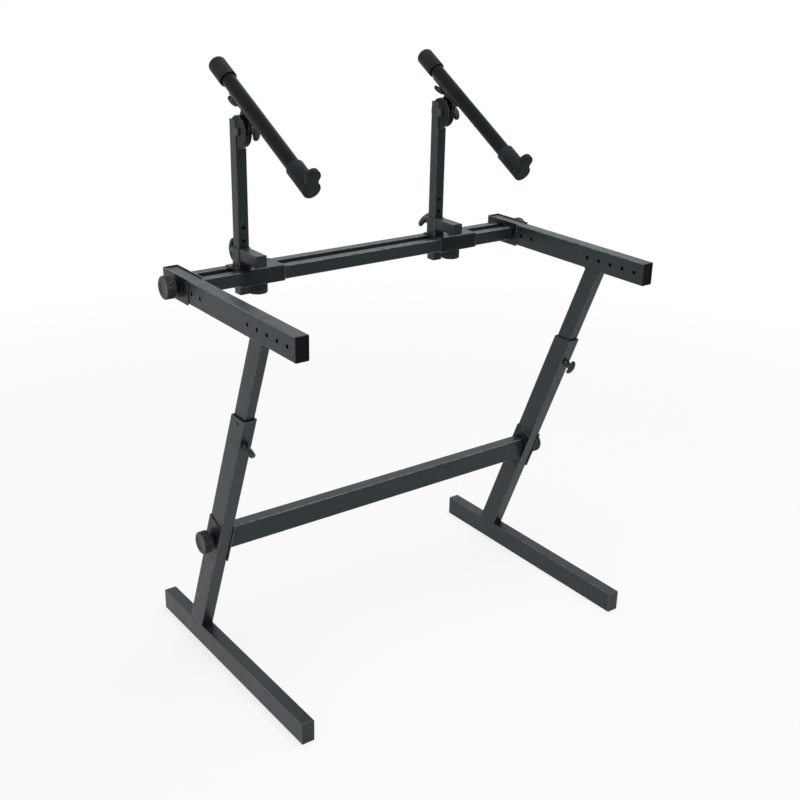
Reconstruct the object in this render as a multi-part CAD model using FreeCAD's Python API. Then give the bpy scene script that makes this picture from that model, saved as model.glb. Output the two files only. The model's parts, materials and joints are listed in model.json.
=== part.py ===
import FreeCAD, Part
import math
import os

Vector = FreeCAD.Vector

# A two-tier keyboard stand. X runs to the player's right, Y to the rear and Z up.
# The origin is on the floor, midway between the feet and midway along them. Millimetres.

# ---------------------------------------------------------------- driving dimensions
TUBE_HEIGHT = 50.0            # the rectangular tube of feet, legs, arms and crossbar
TUBE_WIDTH = 30.0
TUBE_WALL = 2.0
TUBE_CORNER = 2.5
SLIDE_GAP = 0.08              # each side, wherever one piece slides in another
PIN_GAP = 0.06                # radial, wherever a round shank turns in a hole
PAST = 1.0                    # how far a cut runs past the face that it opens
STRAIGHT = 1e-6               # how nearly parallel two directions are to count as one

LEG_X = 439.0                 # centre plane of a foot and its leg
FOOT_LENGTH = 625.0
FOOT_FLANGE = 2.0             # the lip of an end plug, outside the tube
PLUG_DEPTH = 14.0
PLUG_INSET = 1.5              # how far the arm's front plug sits inside the tube
PLUG_CORNER = 1.5
BORE_CORNER = 1.0             # corners of the small square openings and plugs
LEAST_CORNER = 0.5

LEG_LEAN = 21.6               # degrees from upright, leaning forwards
LEG_FOOT_Y = 150.0            # where the leg's axis meets the top of the foot
OUTER_LEG_TOP = 643.0
BUSH_WALL = 2.0
BUSH_LENGTH = 45.0
BUSH_INSET = 1.0
BUSH_SCREW_DROP = 16.0
BUSH_SCREW_HOLE = 3.0
BUSH_SCREW_RADIUS = 2.9
BUSH_SCREW_HEAD_RADIUS = 4.5
BUSH_SCREW_HEAD = 2.0
BUSH_SCREW_ROUND = 1.2
BUSH_SCREW_SHY = 0.4          # how far its end stays back from the inner leg's side of the bush
INNER_LEG_INSERTION = 165.0   # length of inner leg inside the outer leg at rest
CLAMP_SCREW_DROP = 58.5       # leg clamp screw below the outer leg's top edge

ARM_X = 442.0                 # centre plane of a keyboard arm
ARM_FRONT = -311.0
ARM_REAR = 207.5
ARM_TOP = 879.0
ARM_HOLE_RADIUS = 4.5
ARM_HOLE_PITCH = 36.0
ARM_FIRST_HOLE = 26.0         # from the arm's front end
ARM_FRONT_HOLES = 5
ARM_REAR_HOLES = 2
ARM_REAR_HOLE_END = 122.0     # from the arm's rear end to the last hole

PLATE = 2.5                   # bracket and clamp sheet
BRACKET_REACH = 110.0         # length of a bracket's cheeks along the tube
BRACKET_MARGIN = 2.5          # how far the cheeks stand proud of the tube's edges
BRACKET_BEND = 3.5
CROSSBAR_Z = 310.0

RAIL_HEIGHT = 30.0
RAIL_DEPTH = 20.0
RAIL_WALL = 1.5
RAIL_GAP = 29.0

KNOB_RADIUS = 25.0
RAIL_KNOB_RADIUS = 22.0
KNOB_RIM = 20.0
KNOB_HUB_RADIUS = 13.0
KNOB_HUB = 7.0
KNOB_FACE = 6.0               # plastic between the stud's end and the knob's face
KNOB_ROUND = 2.0
BOLT_RADIUS = 5.0
BOLT_TIP = 3.0                # thread showing past the nut
NUT_ACROSS_FLATS = 17.0
NUT_HEIGHT = 8.0
HEX_CORNERS = 6

# wing knobs: hub radius, hub length, span over the wings, height and thickness of the wings
LEG_WING = (7.0, 10.0, 36.0, 14.0, 12.0, 3.0)
POST_WING = (9.0, 12.0, 50.0, 18.0, 11.0, 7.0)
PIVOT_WING = (8.0, 20.0, 46.0, 20.0, 11.0, 5.0)
TUBE_WING = (6.0, 8.0, 32.0, 12.5, 9.0, 2.0)
WING_BLADE = 0.84             # share of the wings' height that their blade is deep
WING_SINK = 0.25              # share of the wings' height that lies beside the hub
CROWN_SHARE = 0.8             # height of the middle swelling, as a share of the wings' height
CROWN_PROUD = 2.0             # how far that swelling stands out of the wings
LEG_WING_TURN = {"left": -54.0, "right": 80.0}     # degrees that each wing knob is turned at rest
POST_WING_TURN = {"left": 90.0, "right": -32.0}
PIVOT_WING_TURN = {"left": -25.0, "right": -45.0}
TUBE_WING_TURN = {"left": 79.0, "right": 62.0}
SCREW_RADIUS = 4.0
SCREW_SOCKET = 4.0            # how far a winged screw's shank runs into its wings
SCREW_REST = 0.3              # between a screw's tip and the tube that it locks
SCREW_BOSS_RADIUS = 8.0
SCREW_BOSS = 8.0

TIER_POST_X = {"left": -302.5, "right": 216.0}
TIER_TILT = {"left": 28.2, "right": 30.4}     # degrees, front end down
TUBE_SHIFT = {"left": 9.0, "right": -9.0}     # along the support tube, to the rear
POST_SIDE = 25.0
POST_WALL = 2.0
POST_CORNER = 2.0
POST_BOTTOM = 813.0
POST_TOP = 1181.0
POST_TAB = 59.0               # height of the tab at the top, where one wall of the post is left
POST_HOLE_RADIUS = 4.0
POST_HOLE_PITCH = 28.0
POST_HOLES = 5
SADDLE_LENGTH = 106.0
SADDLE_LEFT = {"left": 22.0, "right": 10.5}     # from the post's centre to the saddle's left edge
SADDLE_DEPTH = 68.5
SADDLE_BOLT_X = 58.5          # from the saddle's left edge
SADDLE_FOLD = 3.0
COLLAR_WALL = 2.4
COLLAR_HEIGHT = 42.5
COLLAR_CORNER = 3.0
STUB_SIDE = 25.0
STUB_LENGTH = 69.0

PIVOT_FORWARD = 17.0          # the tilt pivot in front of the post's middle
PIVOT_DROP = 23.0             # the tilt pivot below the post's top
ROSETTE_RADIUS = 32.5
ROSETTE_THICK = 8.0
ROSETTE_ROUND = 1.0
PIVOT_HEAD_RADIUS = 9.0
PIVOT_HEAD = 4.0
PIVOT_HEAD_ROUND = 2.0
PIVOT_HEAD_ROOM = 1.0         # radial, in the post's tab
PIVOT_NUT_REACH = 24.0        # how far the pivot bolt enters its wing knob

SUPPORT_RISE = 60.0           # tube axis above the pivot, square to the tube
SUPPORT_RADIUS = 15.0
SUPPORT_WALL = 1.5
SUPPORT_REAR = 134.0          # along the tube, measured from above the pivot
SUPPORT_FRONT = -266.0
CAP_RADIUS = 19.0
CAP_REAR = 140.0
CAP_FRONT = 82.0
CAP_DOME = 7.0
CAP_ROUND = 1.0
SLEEVE_REAR = -204.0
LIP_REAR = -262.0
LIP_FRONT = -275.0
LIP_LOBE_RADIUS = 15.5
LIP_LOBE_RISE = 31.0          # upper lobe's centre above the tube axis
LIP_WAIST = 12.4              # half width between the lobes
LIP_ROUND = 3.0
LIP_TURN = -9.0               # degrees the rubber stop is turned on its tube
RUBBER_GAP = 0.05
CHANNEL_WIDTH = 14.0
CHANNEL_FRONT = -35.0
CHANNEL_REAR = 68.0
CHANNEL_GAP = 0.2             # between the channel's floor and the tube
SLOT_HALF_WIDTH = 3.3
EAR_ROOT = 10.0               # the ear's foot above the pivot
EAR_FOOT = (-28.0, 16.0)      # its front and rear there, along the tube
EAR_HEAD = (-20.0, 18.0)      # its front and rear under the channel
TUBE_SCREW_ALONG = 47.5
TUBE_SCREW_RADIUS = 3.0
TUBE_SCREW_ENTRY = 5.0        # how far it enters the tube
TUBE_SCREW_SOCKET = 3.0
SLOT_FRONT = 35.5             # how far forward and back the tube's screw can go
SLOT_REAR = 61.0

SIDES = {"left": -1.0, "right": 1.0}

# ---------------------------------------------------------------- derived places
lean = math.radians(LEG_LEAN)
foot_top = TUBE_HEIGHT
arm_bottom = ARM_TOP - TUBE_HEIGHT
arm_centre_z = ARM_TOP - TUBE_HEIGHT / 2.0
outer_leg_length = (OUTER_LEG_TOP - foot_top) / math.cos(lean)
clamp_screw_along = outer_leg_length - CLAMP_SCREW_DROP
crossbar_along = (CROSSBAR_Z - foot_top) / math.cos(lean)
crossbar_y = LEG_FOOT_Y - crossbar_along * math.sin(lean)
inner_leg_depth = TUBE_HEIGHT - 2.0 * (TUBE_WALL + BUSH_WALL)
inner_leg_width = TUBE_WIDTH - 2.0 * (TUBE_WALL + BUSH_WALL)
inner_leg_foot = outer_leg_length - INNER_LEG_INSERTION
lower_cheek_x = LEG_X + TUBE_WIDTH / 2.0 + PLATE
rear_cheek_x = ARM_X + TUBE_WIDTH / 2.0 + PLATE
rear_bolt_y = ARM_REAR + PLATE - BRACKET_REACH / 2.0
rail_pair_y = rear_bolt_y
front_rail_y = rail_pair_y - (RAIL_GAP + RAIL_DEPTH) / 2.0
rear_rail_y = rail_pair_y + (RAIL_GAP + RAIL_DEPTH) / 2.0
rail_top = arm_centre_z + RAIL_HEIGHT / 2.0
rail_bottom = arm_centre_z - RAIL_HEIGHT / 2.0
saddle_front = front_rail_y - RAIL_DEPTH / 2.0 - SLIDE_GAP - PLATE
saddle_top = rail_top + PLATE
saddle_bottom = rail_bottom - SLIDE_GAP - PLATE
collar_top = saddle_top + COLLAR_HEIGHT
collar_outer = POST_SIDE + 2.0 * (SLIDE_GAP + COLLAR_WALL)
stub_centre_z = collar_top - STUB_SIDE / 2.0
knob_height = KNOB_HUB + KNOB_RIM
channel_floor = SUPPORT_RISE - SUPPORT_RADIUS - CHANNEL_GAP - PLATE
pivot_y = rail_pair_y - PIVOT_FORWARD
pivot_z = POST_TOP - PIVOT_DROP
far = 2.0 * FOOT_LENGTH       # a reach past every piece


# ---------------------------------------------------------------- shape helpers
def block(x0, x1, y0, y1, z0, z1):
    """A plain box between two corners."""
    return Part.makeBox(x1 - x0, y1 - y0, z1 - z0, Vector(x0, y0, z0))


def cylinder(radius, start, direction, length):
    """A round bar from a point along a direction."""
    return Part.makeCylinder(radius, length, start, direction)


def long_edges(shape, axis):
    """The straight edges of a shape that run along an axis."""
    found = []
    for edge in shape.Edges:
        if edge.Curve.TypeId == "Part::GeomLine":
            along = edge.Vertexes[1].Point - edge.Vertexes[0].Point
            if along.normalize().cross(axis).Length < STRAIGHT:
                found.append(edge)
    return found


def round_edges(shape):
    """The circular edges of a shape."""
    return [edge for edge in shape.Edges if edge.Curve.TypeId == "Part::GeomCircle"]


def level_room(low, high):
    """A wide slab between two heights, to cut a leaning piece off level."""
    return block(-far, far, -far, far, low, high)


def round_bar(width, depth, length, corner):
    """A rounded rectangular bar standing on the origin, up Z."""
    bar = block(-width / 2.0, width / 2.0, -depth / 2.0, depth / 2.0, 0.0, length)
    return bar.makeFillet(corner, long_edges(bar, Vector(0, 0, 1)))


def hollow_bar(width, depth, length, wall, corner):
    """A rounded rectangular tube standing on the origin, up Z."""
    inner_corner = max(corner - wall, LEAST_CORNER)
    bore = round_bar(width - 2.0 * wall, depth - 2.0 * wall, length, inner_corner)
    return round_bar(width, depth, length, corner).cut(bore)


def turned(shape, axis, degrees, centre=Vector(0, 0, 0)):
    """A copy of a shape, turned about an axis through a centre."""
    copy = shape.copy()
    copy.rotate(centre, axis, degrees)
    return copy


def moved(shape, x, y, z):
    """A copy of a shape, moved."""
    copy = shape.copy()
    copy.translate(Vector(x, y, z))
    return copy


def along_y(bar):
    """Lays a bar that stands up Z along Y, its depth upright."""
    return turned(bar, Vector(1, 0, 0), -90.0)


def along_x(bar):
    """Lays a bar that stands up Z along X, its width upright."""
    return turned(bar, Vector(0, 1, 0), 90.0)


def from_leg(shape, side):
    """Places a shape drawn about a leg: Z up the leg from the foot, Y to the rear of it."""
    leaning = turned(shape, Vector(1, 0, 0), LEG_LEAN)
    return moved(leaning, SIDES[side] * LEG_X, LEG_FOOT_Y, foot_top)


def rosette_face(side):
    """Where the two rosettes meet, along X."""
    return TIER_POST_X[side] - POST_SIDE / 2.0 + POST_WALL + ROSETTE_THICK


def from_tilt(shape, side):
    """Places a shape drawn about a tilt pivot: Y along the support tube, Z square to it."""
    tilted = turned(shape, Vector(1, 0, 0), TIER_TILT[side])
    return moved(tilted, rosette_face(side) + ROSETTE_THICK / 2.0, pivot_y, pivot_z)


def hexagon_nut(across_flats, height, bore):
    """A nut standing on the origin, up Z, bored through."""
    radius = across_flats / math.sqrt(3.0)
    corners = []
    for turn in range(HEX_CORNERS + 1):
        angle = 2.0 * math.pi * turn / HEX_CORNERS
        corners.append(Vector(radius * math.cos(angle), radius * math.sin(angle), 0.0))
    body = Part.Face(Part.makePolygon(corners)).extrude(Vector(0, 0, height))
    return body.cut(cylinder(bore, Vector(0, 0, 0), Vector(0, 0, 1), height))


def clamp_knob(radius):
    """A round clamping knob: its hub seats on the origin, the rim stands above it up Z."""
    hub = cylinder(KNOB_HUB_RADIUS, Vector(0, 0, 0), Vector(0, 0, 1), KNOB_HUB)
    rim = cylinder(radius, Vector(0, 0, KNOB_HUB), Vector(0, 0, 1), KNOB_RIM)
    rim = rim.makeFillet(KNOB_ROUND, round_edges(rim))
    socket = cylinder(BOLT_RADIUS, Vector(0, 0, 0), Vector(0, 0, 1), knob_height - KNOB_FACE)
    return hub.fuse(rim).cut(socket).removeSplitter()


def clamp_bolt(grip):
    """The stud of a clamping knob: it fills the knob's socket and runs down through the grip."""
    length = grip + NUT_HEIGHT + BOLT_TIP
    top = knob_height - KNOB_FACE
    return cylinder(BOLT_RADIUS, Vector(0, 0, -length), Vector(0, 0, 1), length + top)


def wing_knob(sizes):
    """A wing knob seated on the origin, its wings across X and bent to the seat, standing up Z."""
    hub_radius, hub_length, span, wing_height, thick, droop = sizes
    hub = cylinder(hub_radius, Vector(0, 0, 0), Vector(0, 0, 1), hub_length)
    radius = wing_height * WING_BLADE / 2.0
    crest = hub_length + wing_height * (1.0 - WING_SINK)
    middle = crest - radius
    flat = span / 2.0 - radius
    bend = (flat * flat + droop * droop) / (2.0 * droop)
    bend_centre = Vector(0, -thick / 2.0, middle - bend)
    wing = cylinder(bend + radius, bend_centre, Vector(0, 1, 0), thick)
    wing = wing.cut(cylinder(bend - radius, bend_centre, Vector(0, 1, 0), thick))
    wing = wing.common(block(-flat, flat, -thick / 2.0, thick / 2.0, 0.0, crest))
    for sign in (-1.0, 1.0):
        centre = Vector(sign * flat, -thick / 2.0, middle - droop)
        wing = wing.fuse(cylinder(radius, centre, Vector(0, 1, 0), thick))
    crown_line = Vector(0, 0, middle - radius)
    crown = cylinder(thick / 2.0 + CROWN_PROUD, crown_line, Vector(0, 0, 1), wing_height * CROWN_SHARE)
    return hub.fuse(wing).fuse(crown).removeSplitter()


def tube_plug(width, depth, wall, corner, length):
    """The body of a plug that fills a tube's bore, standing on the origin, up Z."""
    fit = 2.0 * (wall + RUBBER_GAP)
    return round_bar(width - fit, depth - fit, length, corner)


# ---------------------------------------------------------------- lower frame
def foot(side):
    """A floor tube, open at both ends for its plugs."""
    length = FOOT_LENGTH - 2.0 * FOOT_FLANGE
    bar = along_y(hollow_bar(TUBE_WIDTH, TUBE_HEIGHT, length, TUBE_WALL, TUBE_CORNER))
    return moved(bar, SIDES[side] * LEG_X, -length / 2.0, TUBE_HEIGHT / 2.0)


def foot_end_plugs():
    """Four flanged plugs that close the ends of the feet."""
    flange = round_bar(TUBE_WIDTH, TUBE_HEIGHT, FOOT_FLANGE, TUBE_CORNER)
    depth = PLUG_DEPTH + FOOT_FLANGE
    body = tube_plug(TUBE_WIDTH, TUBE_HEIGHT, TUBE_WALL, PLUG_CORNER, depth)
    rear = along_y(flange.fuse(body))
    rear = turned(rear, Vector(1, 0, 0), 180.0)
    plugs = []
    for side in SIDES:
        x = SIDES[side] * LEG_X
        plug = moved(rear, x, FOOT_LENGTH / 2.0, TUBE_HEIGHT / 2.0)
        plugs.append(plug)
        plugs.append(turned(plug, Vector(0, 0, 1), 180.0, Vector(x, 0, 0)))
    return Part.makeCompound(plugs)


def outer_leg(side):
    """The leaning leg tube, cut level at foot and top, bored for its bolt and its screws."""
    reach = TUBE_HEIGHT
    bar = hollow_bar(TUBE_WIDTH, TUBE_HEIGHT, outer_leg_length + 2.0 * reach, TUBE_WALL, TUBE_CORNER)
    bar = moved(bar, 0, 0, -reach)
    boss_front = -TUBE_HEIGHT / 2.0 - SCREW_BOSS
    boss_line = Vector(0, boss_front, clamp_screw_along)
    boss = cylinder(SCREW_BOSS_RADIUS, boss_line, Vector(0, 1, 0), SCREW_BOSS)
    bar = bar.fuse(boss)
    thread = SCREW_RADIUS + PIN_GAP
    bar = bar.cut(cylinder(thread, boss_line, Vector(0, 1, 0), -boss_front))
    across = Vector(-TUBE_WIDTH, 0, crossbar_along)
    bar = bar.cut(cylinder(BOLT_RADIUS + PIN_GAP, across, Vector(1, 0, 0), 2.0 * TUBE_WIDTH))
    screw_line = Vector(-TUBE_WIDTH, 0, outer_leg_length - BUSH_SCREW_DROP)
    bar = bar.cut(cylinder(BUSH_SCREW_HOLE, screw_line, Vector(1, 0, 0), 2.0 * TUBE_WIDTH))
    leg = from_leg(bar, side)
    return leg.common(level_room(foot_top, OUTER_LEG_TOP))


def leg_bushes():
    """The two plastic sleeves in the outer legs' mouths that guide the inner legs."""
    width = TUBE_WIDTH - 2.0 * TUBE_WALL
    depth = TUBE_HEIGHT - 2.0 * TUBE_WALL
    bush = round_bar(width, depth, BUSH_LENGTH + TUBE_HEIGHT, PLUG_CORNER)
    opening_width = inner_leg_width + 2.0 * SLIDE_GAP
    opening_depth = inner_leg_depth + 2.0 * SLIDE_GAP
    bush = bush.cut(round_bar(opening_width, opening_depth, BUSH_LENGTH + TUBE_HEIGHT, BORE_CORNER))
    bush = moved(bush, 0, 0, outer_leg_length - BUSH_LENGTH)
    screw_line = Vector(-TUBE_WIDTH, 0, outer_leg_length - BUSH_SCREW_DROP)
    bush = bush.cut(cylinder(BUSH_SCREW_HOLE, screw_line, Vector(1, 0, 0), 2.0 * TUBE_WIDTH))
    room = level_room(foot_top, OUTER_LEG_TOP - BUSH_INSET)
    return Part.makeCompound([from_leg(bush, side).common(room) for side in SIDES])


def bush_screws():
    """Button screws through the legs' cheeks that hold the bushes, two to a leg."""
    screws = []
    shank_end = TUBE_WIDTH / 2.0 - TUBE_WALL - BUSH_WALL + BUSH_SCREW_SHY
    for side in SIDES:
        for sign in (-1.0, 1.0):
            face = Vector(sign * TUBE_WIDTH / 2.0, 0, outer_leg_length - BUSH_SCREW_DROP)
            head = cylinder(BUSH_SCREW_HEAD_RADIUS, face, Vector(sign, 0, 0), BUSH_SCREW_HEAD)
            crown_x = abs(face.x) + BUSH_SCREW_HEAD / 2.0
            rim = [edge for edge in head.Edges if abs(edge.BoundBox.XMin) > crown_x]
            head = head.makeFillet(BUSH_SCREW_ROUND, rim)
            start = Vector(sign * shank_end, 0, face.z)
            shank = cylinder(BUSH_SCREW_RADIUS, start, Vector(sign, 0, 0), TUBE_WIDTH / 2.0 - shank_end)
            screws.append(from_leg(head.fuse(shank).removeSplitter(), side))
    return Part.makeCompound(screws)


def leg_clamp_screw(side):
    """The winged screw in the front of a leg that locks the telescoping tube."""
    tip = TUBE_HEIGHT / 2.0 - inner_leg_depth / 2.0 + SCREW_BOSS - SCREW_REST
    shank = cylinder(SCREW_RADIUS, Vector(0, 0, -tip), Vector(0, 0, 1), tip + SCREW_SOCKET)
    screw = wing_knob(LEG_WING).fuse(shank)
    screw = turned(screw.removeSplitter(), Vector(0, 0, 1), LEG_WING_TURN[side])
    screw = turned(screw, Vector(1, 0, 0), 90.0)
    return from_leg(moved(screw, 0, -TUBE_HEIGHT / 2.0 - SCREW_BOSS, clamp_screw_along), side)


def u_bracket(tube_width, length, height):
    """A sheet bracket about a tube up Z: two cheeks and a web behind, open at the front."""
    half = tube_width / 2.0 + PLATE
    front = -TUBE_HEIGHT / 2.0 - BRACKET_MARGIN
    rear = front + height
    outer = block(-half, half, front, rear, -length / 2.0, length / 2.0)
    bends = [edge for edge in long_edges(outer, Vector(0, 0, 1)) if edge.BoundBox.YMin > rear - PAST]
    outer = outer.makeFillet(BRACKET_BEND, bends)
    inside = tube_width / 2.0
    end = length / 2.0 + PAST
    room = block(-inside, inside, front - PAST, rear - PLATE, -end, end)
    return outer.cut(room)


def lower_brackets():
    """The two brackets that join the lower crossbar to the legs."""
    height = TUBE_HEIGHT + BRACKET_MARGIN + PLATE
    bracket = moved(u_bracket(TUBE_WIDTH, BRACKET_REACH, height), 0, 0, crossbar_along)
    line = Vector(-TUBE_WIDTH, 0, crossbar_along)
    hole = cylinder(BOLT_RADIUS + PIN_GAP, line, Vector(1, 0, 0), 2.0 * TUBE_WIDTH)
    return Part.makeCompound([from_leg(bracket.cut(hole), side) for side in SIDES])


def lower_crossbar():
    """The rectangular tube between the lower brackets."""
    length = 2.0 * (LEG_X - TUBE_WIDTH / 2.0 - PLATE)
    bar = along_x(hollow_bar(TUBE_HEIGHT, TUBE_WIDTH, length, TUBE_WALL, TUBE_CORNER))
    return moved(bar, -length / 2.0, crossbar_y, CROSSBAR_Z)


def sideways(shape, side):
    """Turns a shape that stands up Z so that it stands outwards on one side of the stand."""
    return turned(shape, Vector(0, 1, 0), 90.0 * SIDES[side])


def lower_knob(side):
    """The knob outside a lower bracket."""
    knob = sideways(clamp_knob(KNOB_RADIUS), side)
    return moved(knob, SIDES[side] * lower_cheek_x, crossbar_y, CROSSBAR_Z)


def lower_bolt(side):
    """The stud of a lower knob, through bracket and leg."""
    bolt = sideways(clamp_bolt(TUBE_WIDTH + 2.0 * PLATE), side)
    return moved(bolt, SIDES[side] * lower_cheek_x, crossbar_y, CROSSBAR_Z)


def bracket_nuts(cheek_x, y, z, tube_width):
    """Nuts welded to the inner cheeks of a pair of brackets."""
    nuts = []
    for side in SIDES:
        nut = hexagon_nut(NUT_ACROSS_FLATS, NUT_HEIGHT, BOLT_RADIUS + PIN_GAP)
        nut = turned(sideways(nut, side), Vector(0, 1, 0), 180.0)
        inner = cheek_x - 2.0 * PLATE - tube_width
        nuts.append(moved(nut, SIDES[side] * inner, y, z))
    return Part.makeCompound(nuts)


# ---------------------------------------------------------------- upper frame
def inner_leg(side):
    """The telescoping tube, cut level under the arm."""
    reach = (arm_bottom - foot_top) / math.cos(lean) - inner_leg_foot + TUBE_HEIGHT
    bar = hollow_bar(inner_leg_width, inner_leg_depth, reach, TUBE_WALL, TUBE_CORNER)
    leg = from_leg(moved(bar, 0, 0, inner_leg_foot), side)
    return leg.common(level_room(foot_top, arm_bottom))


def inner_leg_plugs():
    """Plugs in the lower ends of the inner legs."""
    plug = tube_plug(inner_leg_width, inner_leg_depth, TUBE_WALL, BORE_CORNER, PLUG_DEPTH)
    plug = moved(plug, 0, 0, inner_leg_foot)
    return Part.makeCompound([from_leg(plug, side) for side in SIDES])


def arm_holes():
    """The places of the holes along an arm."""
    first = ARM_FRONT + ARM_FIRST_HOLE
    front = [first + ARM_HOLE_PITCH * step for step in range(ARM_FRONT_HOLES)]
    last = ARM_REAR - ARM_REAR_HOLE_END
    rear = [last - ARM_HOLE_PITCH * step for step in range(ARM_REAR_HOLES)]
    return front + rear


def side_arm(side):
    """A keyboard arm with its row of holes and the bore for its bracket bolt."""
    length = ARM_REAR - ARM_FRONT
    bar = along_y(hollow_bar(TUBE_WIDTH, TUBE_HEIGHT, length, TUBE_WALL, TUBE_CORNER))
    bar = moved(bar, 0, ARM_FRONT, arm_centre_z)
    for y in arm_holes():
        line = Vector(-TUBE_WIDTH, y, arm_centre_z)
        bar = bar.cut(cylinder(ARM_HOLE_RADIUS, line, Vector(1, 0, 0), 2.0 * TUBE_WIDTH))
    bolt_line = Vector(-TUBE_WIDTH, rear_bolt_y, arm_centre_z)
    bar = bar.cut(cylinder(BOLT_RADIUS + PIN_GAP, bolt_line, Vector(1, 0, 0), 2.0 * TUBE_WIDTH))
    return moved(bar, SIDES[side] * ARM_X, 0, 0)


def arm_end_plugs():
    """Plugs in both ends of the arms, the front ones set a little inside the tube."""
    plug = along_y(tube_plug(TUBE_WIDTH, TUBE_HEIGHT, TUBE_WALL, PLUG_CORNER, PLUG_DEPTH))
    plugs = []
    for side in SIDES:
        x = SIDES[side] * ARM_X
        plugs.append(moved(plug, x, ARM_FRONT + PLUG_INSET, arm_centre_z))
        plugs.append(moved(plug, x, ARM_REAR - PLUG_DEPTH, arm_centre_z))
    return Part.makeCompound(plugs)


def rear_brackets():
    """The two brackets on the rails' ends, each wrapping the rear end of an arm."""
    half = TUBE_WIDTH / 2.0 + PLATE
    inside = TUBE_WIDTH / 2.0
    rear = ARM_REAR + PLATE
    front = rear - BRACKET_REACH
    low = arm_bottom - BRACKET_MARGIN
    high = ARM_TOP + BRACKET_MARGIN
    outer = block(-half, half, front, rear, low, high)
    bends = [edge for edge in long_edges(outer, Vector(0, 0, 1)) if edge.BoundBox.YMin > rear - PAST]
    outer = outer.makeFillet(BRACKET_BEND, bends)
    bracket = outer.cut(block(-inside, inside, front - PAST, ARM_REAR, low - PAST, high + PAST))
    line = Vector(-TUBE_WIDTH, rear_bolt_y, arm_centre_z)
    hole = cylinder(BOLT_RADIUS + PIN_GAP, line, Vector(1, 0, 0), 2.0 * TUBE_WIDTH)
    bracket = bracket.cut(hole)
    return Part.makeCompound([moved(bracket, SIDES[side] * ARM_X, 0, 0) for side in SIDES])


def rail(y):
    """One of the twin rails between the rear brackets."""
    length = 2.0 * (ARM_X - TUBE_WIDTH / 2.0 - PLATE)
    bar = along_x(hollow_bar(RAIL_HEIGHT, RAIL_DEPTH, length, RAIL_WALL, TUBE_CORNER))
    return moved(bar, -length / 2.0, y, arm_centre_z)


def rear_knob(side):
    """The knob outside a rear bracket."""
    knob = sideways(clamp_knob(KNOB_RADIUS), side)
    return moved(knob, SIDES[side] * rear_cheek_x, rear_bolt_y, arm_centre_z)


def rear_bolt(side):
    """The stud of a rear knob, through bracket and arm."""
    bolt = sideways(clamp_bolt(TUBE_WIDTH + 2.0 * PLATE), side)
    return moved(bolt, SIDES[side] * rear_cheek_x, rear_bolt_y, arm_centre_z)


# ---------------------------------------------------------------- second tier
def saddle_left(side):
    """The left edge of a saddle, along X."""
    return TIER_POST_X[side] - SADDLE_LEFT[side]


def rail_clamp(side):
    """The folded saddle that slides along the rails, open behind."""
    x0 = saddle_left(side)
    x1 = x0 + SADDLE_LENGTH
    rear = saddle_front + SADDLE_DEPTH
    outer = block(x0, x1, saddle_front, rear, saddle_bottom, saddle_top)
    corners = long_edges(outer, Vector(1, 0, 0))
    folds = [edge for edge in corners if edge.BoundBox.YMax < saddle_front + PAST]
    outer = outer.makeFillet(SADDLE_FOLD, folds)
    room_bottom = rail_bottom - SLIDE_GAP
    room = block(x0 - PAST, x1 + PAST, saddle_front + PLATE, rear + PAST, room_bottom, rail_top)
    saddle = outer.cut(room)
    post_room = POST_SIDE + 2.0 * SLIDE_GAP
    height = saddle_top - saddle_bottom + 2.0 * PAST
    window = round_bar(post_room, post_room, height, BORE_CORNER)
    saddle = saddle.cut(moved(window, TIER_POST_X[side], rail_pair_y, saddle_bottom - PAST))
    bolt_line = Vector(x0 + SADDLE_BOLT_X, rail_pair_y, saddle_bottom - PAST)
    return saddle.cut(cylinder(BOLT_RADIUS + PIN_GAP, bolt_line, Vector(0, 0, 1), height))


def post_collar(side):
    """The collar welded on the saddle round the post, its forward stub and its screw boss."""
    half = collar_outer / 2.0
    collar = round_bar(collar_outer, collar_outer, COLLAR_HEIGHT, COLLAR_CORNER)
    boss_line = Vector(0, half, stub_centre_z - saddle_top)
    collar = collar.fuse(cylinder(SCREW_BOSS_RADIUS, boss_line, Vector(0, 1, 0), SCREW_BOSS))
    stub = along_y(hollow_bar(STUB_SIDE, STUB_SIDE, STUB_LENGTH, POST_WALL, POST_CORNER))
    end_plate = along_y(round_bar(STUB_SIDE, STUB_SIDE, POST_WALL, POST_CORNER))
    stub = moved(stub.fuse(end_plate), 0, -half - STUB_LENGTH, stub_centre_z - saddle_top)
    post_room = POST_SIDE + 2.0 * SLIDE_GAP
    collar = collar.fuse(stub).cut(round_bar(post_room, post_room, COLLAR_HEIGHT, BORE_CORNER))
    thread = Vector(0, POST_SIDE / 2.0, stub_centre_z - saddle_top)
    collar = collar.cut(cylinder(SCREW_RADIUS + PIN_GAP, thread, Vector(0, 1, 0), half))
    return moved(collar.removeSplitter(), TIER_POST_X[side], rail_pair_y, saddle_top)


def rail_knob(side):
    """The knob under a saddle that draws it down on the rails."""
    knob = turned(clamp_knob(RAIL_KNOB_RADIUS), Vector(1, 0, 0), 180.0)
    return moved(knob, saddle_left(side) + SADDLE_BOLT_X, rail_pair_y, saddle_bottom)


def rail_bolt(side):
    """The stud of a rail knob, up between the rails."""
    bolt = turned(clamp_bolt(saddle_top - saddle_bottom), Vector(1, 0, 0), 180.0)
    return moved(bolt, saddle_left(side) + SADDLE_BOLT_X, rail_pair_y, saddle_bottom)


def rail_nut(side):
    """The nut welded on top of a saddle."""
    nut = hexagon_nut(NUT_ACROSS_FLATS, NUT_HEIGHT, BOLT_RADIUS + PIN_GAP)
    return moved(nut, saddle_left(side) + SADDLE_BOLT_X, rail_pair_y, saddle_top)


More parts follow.
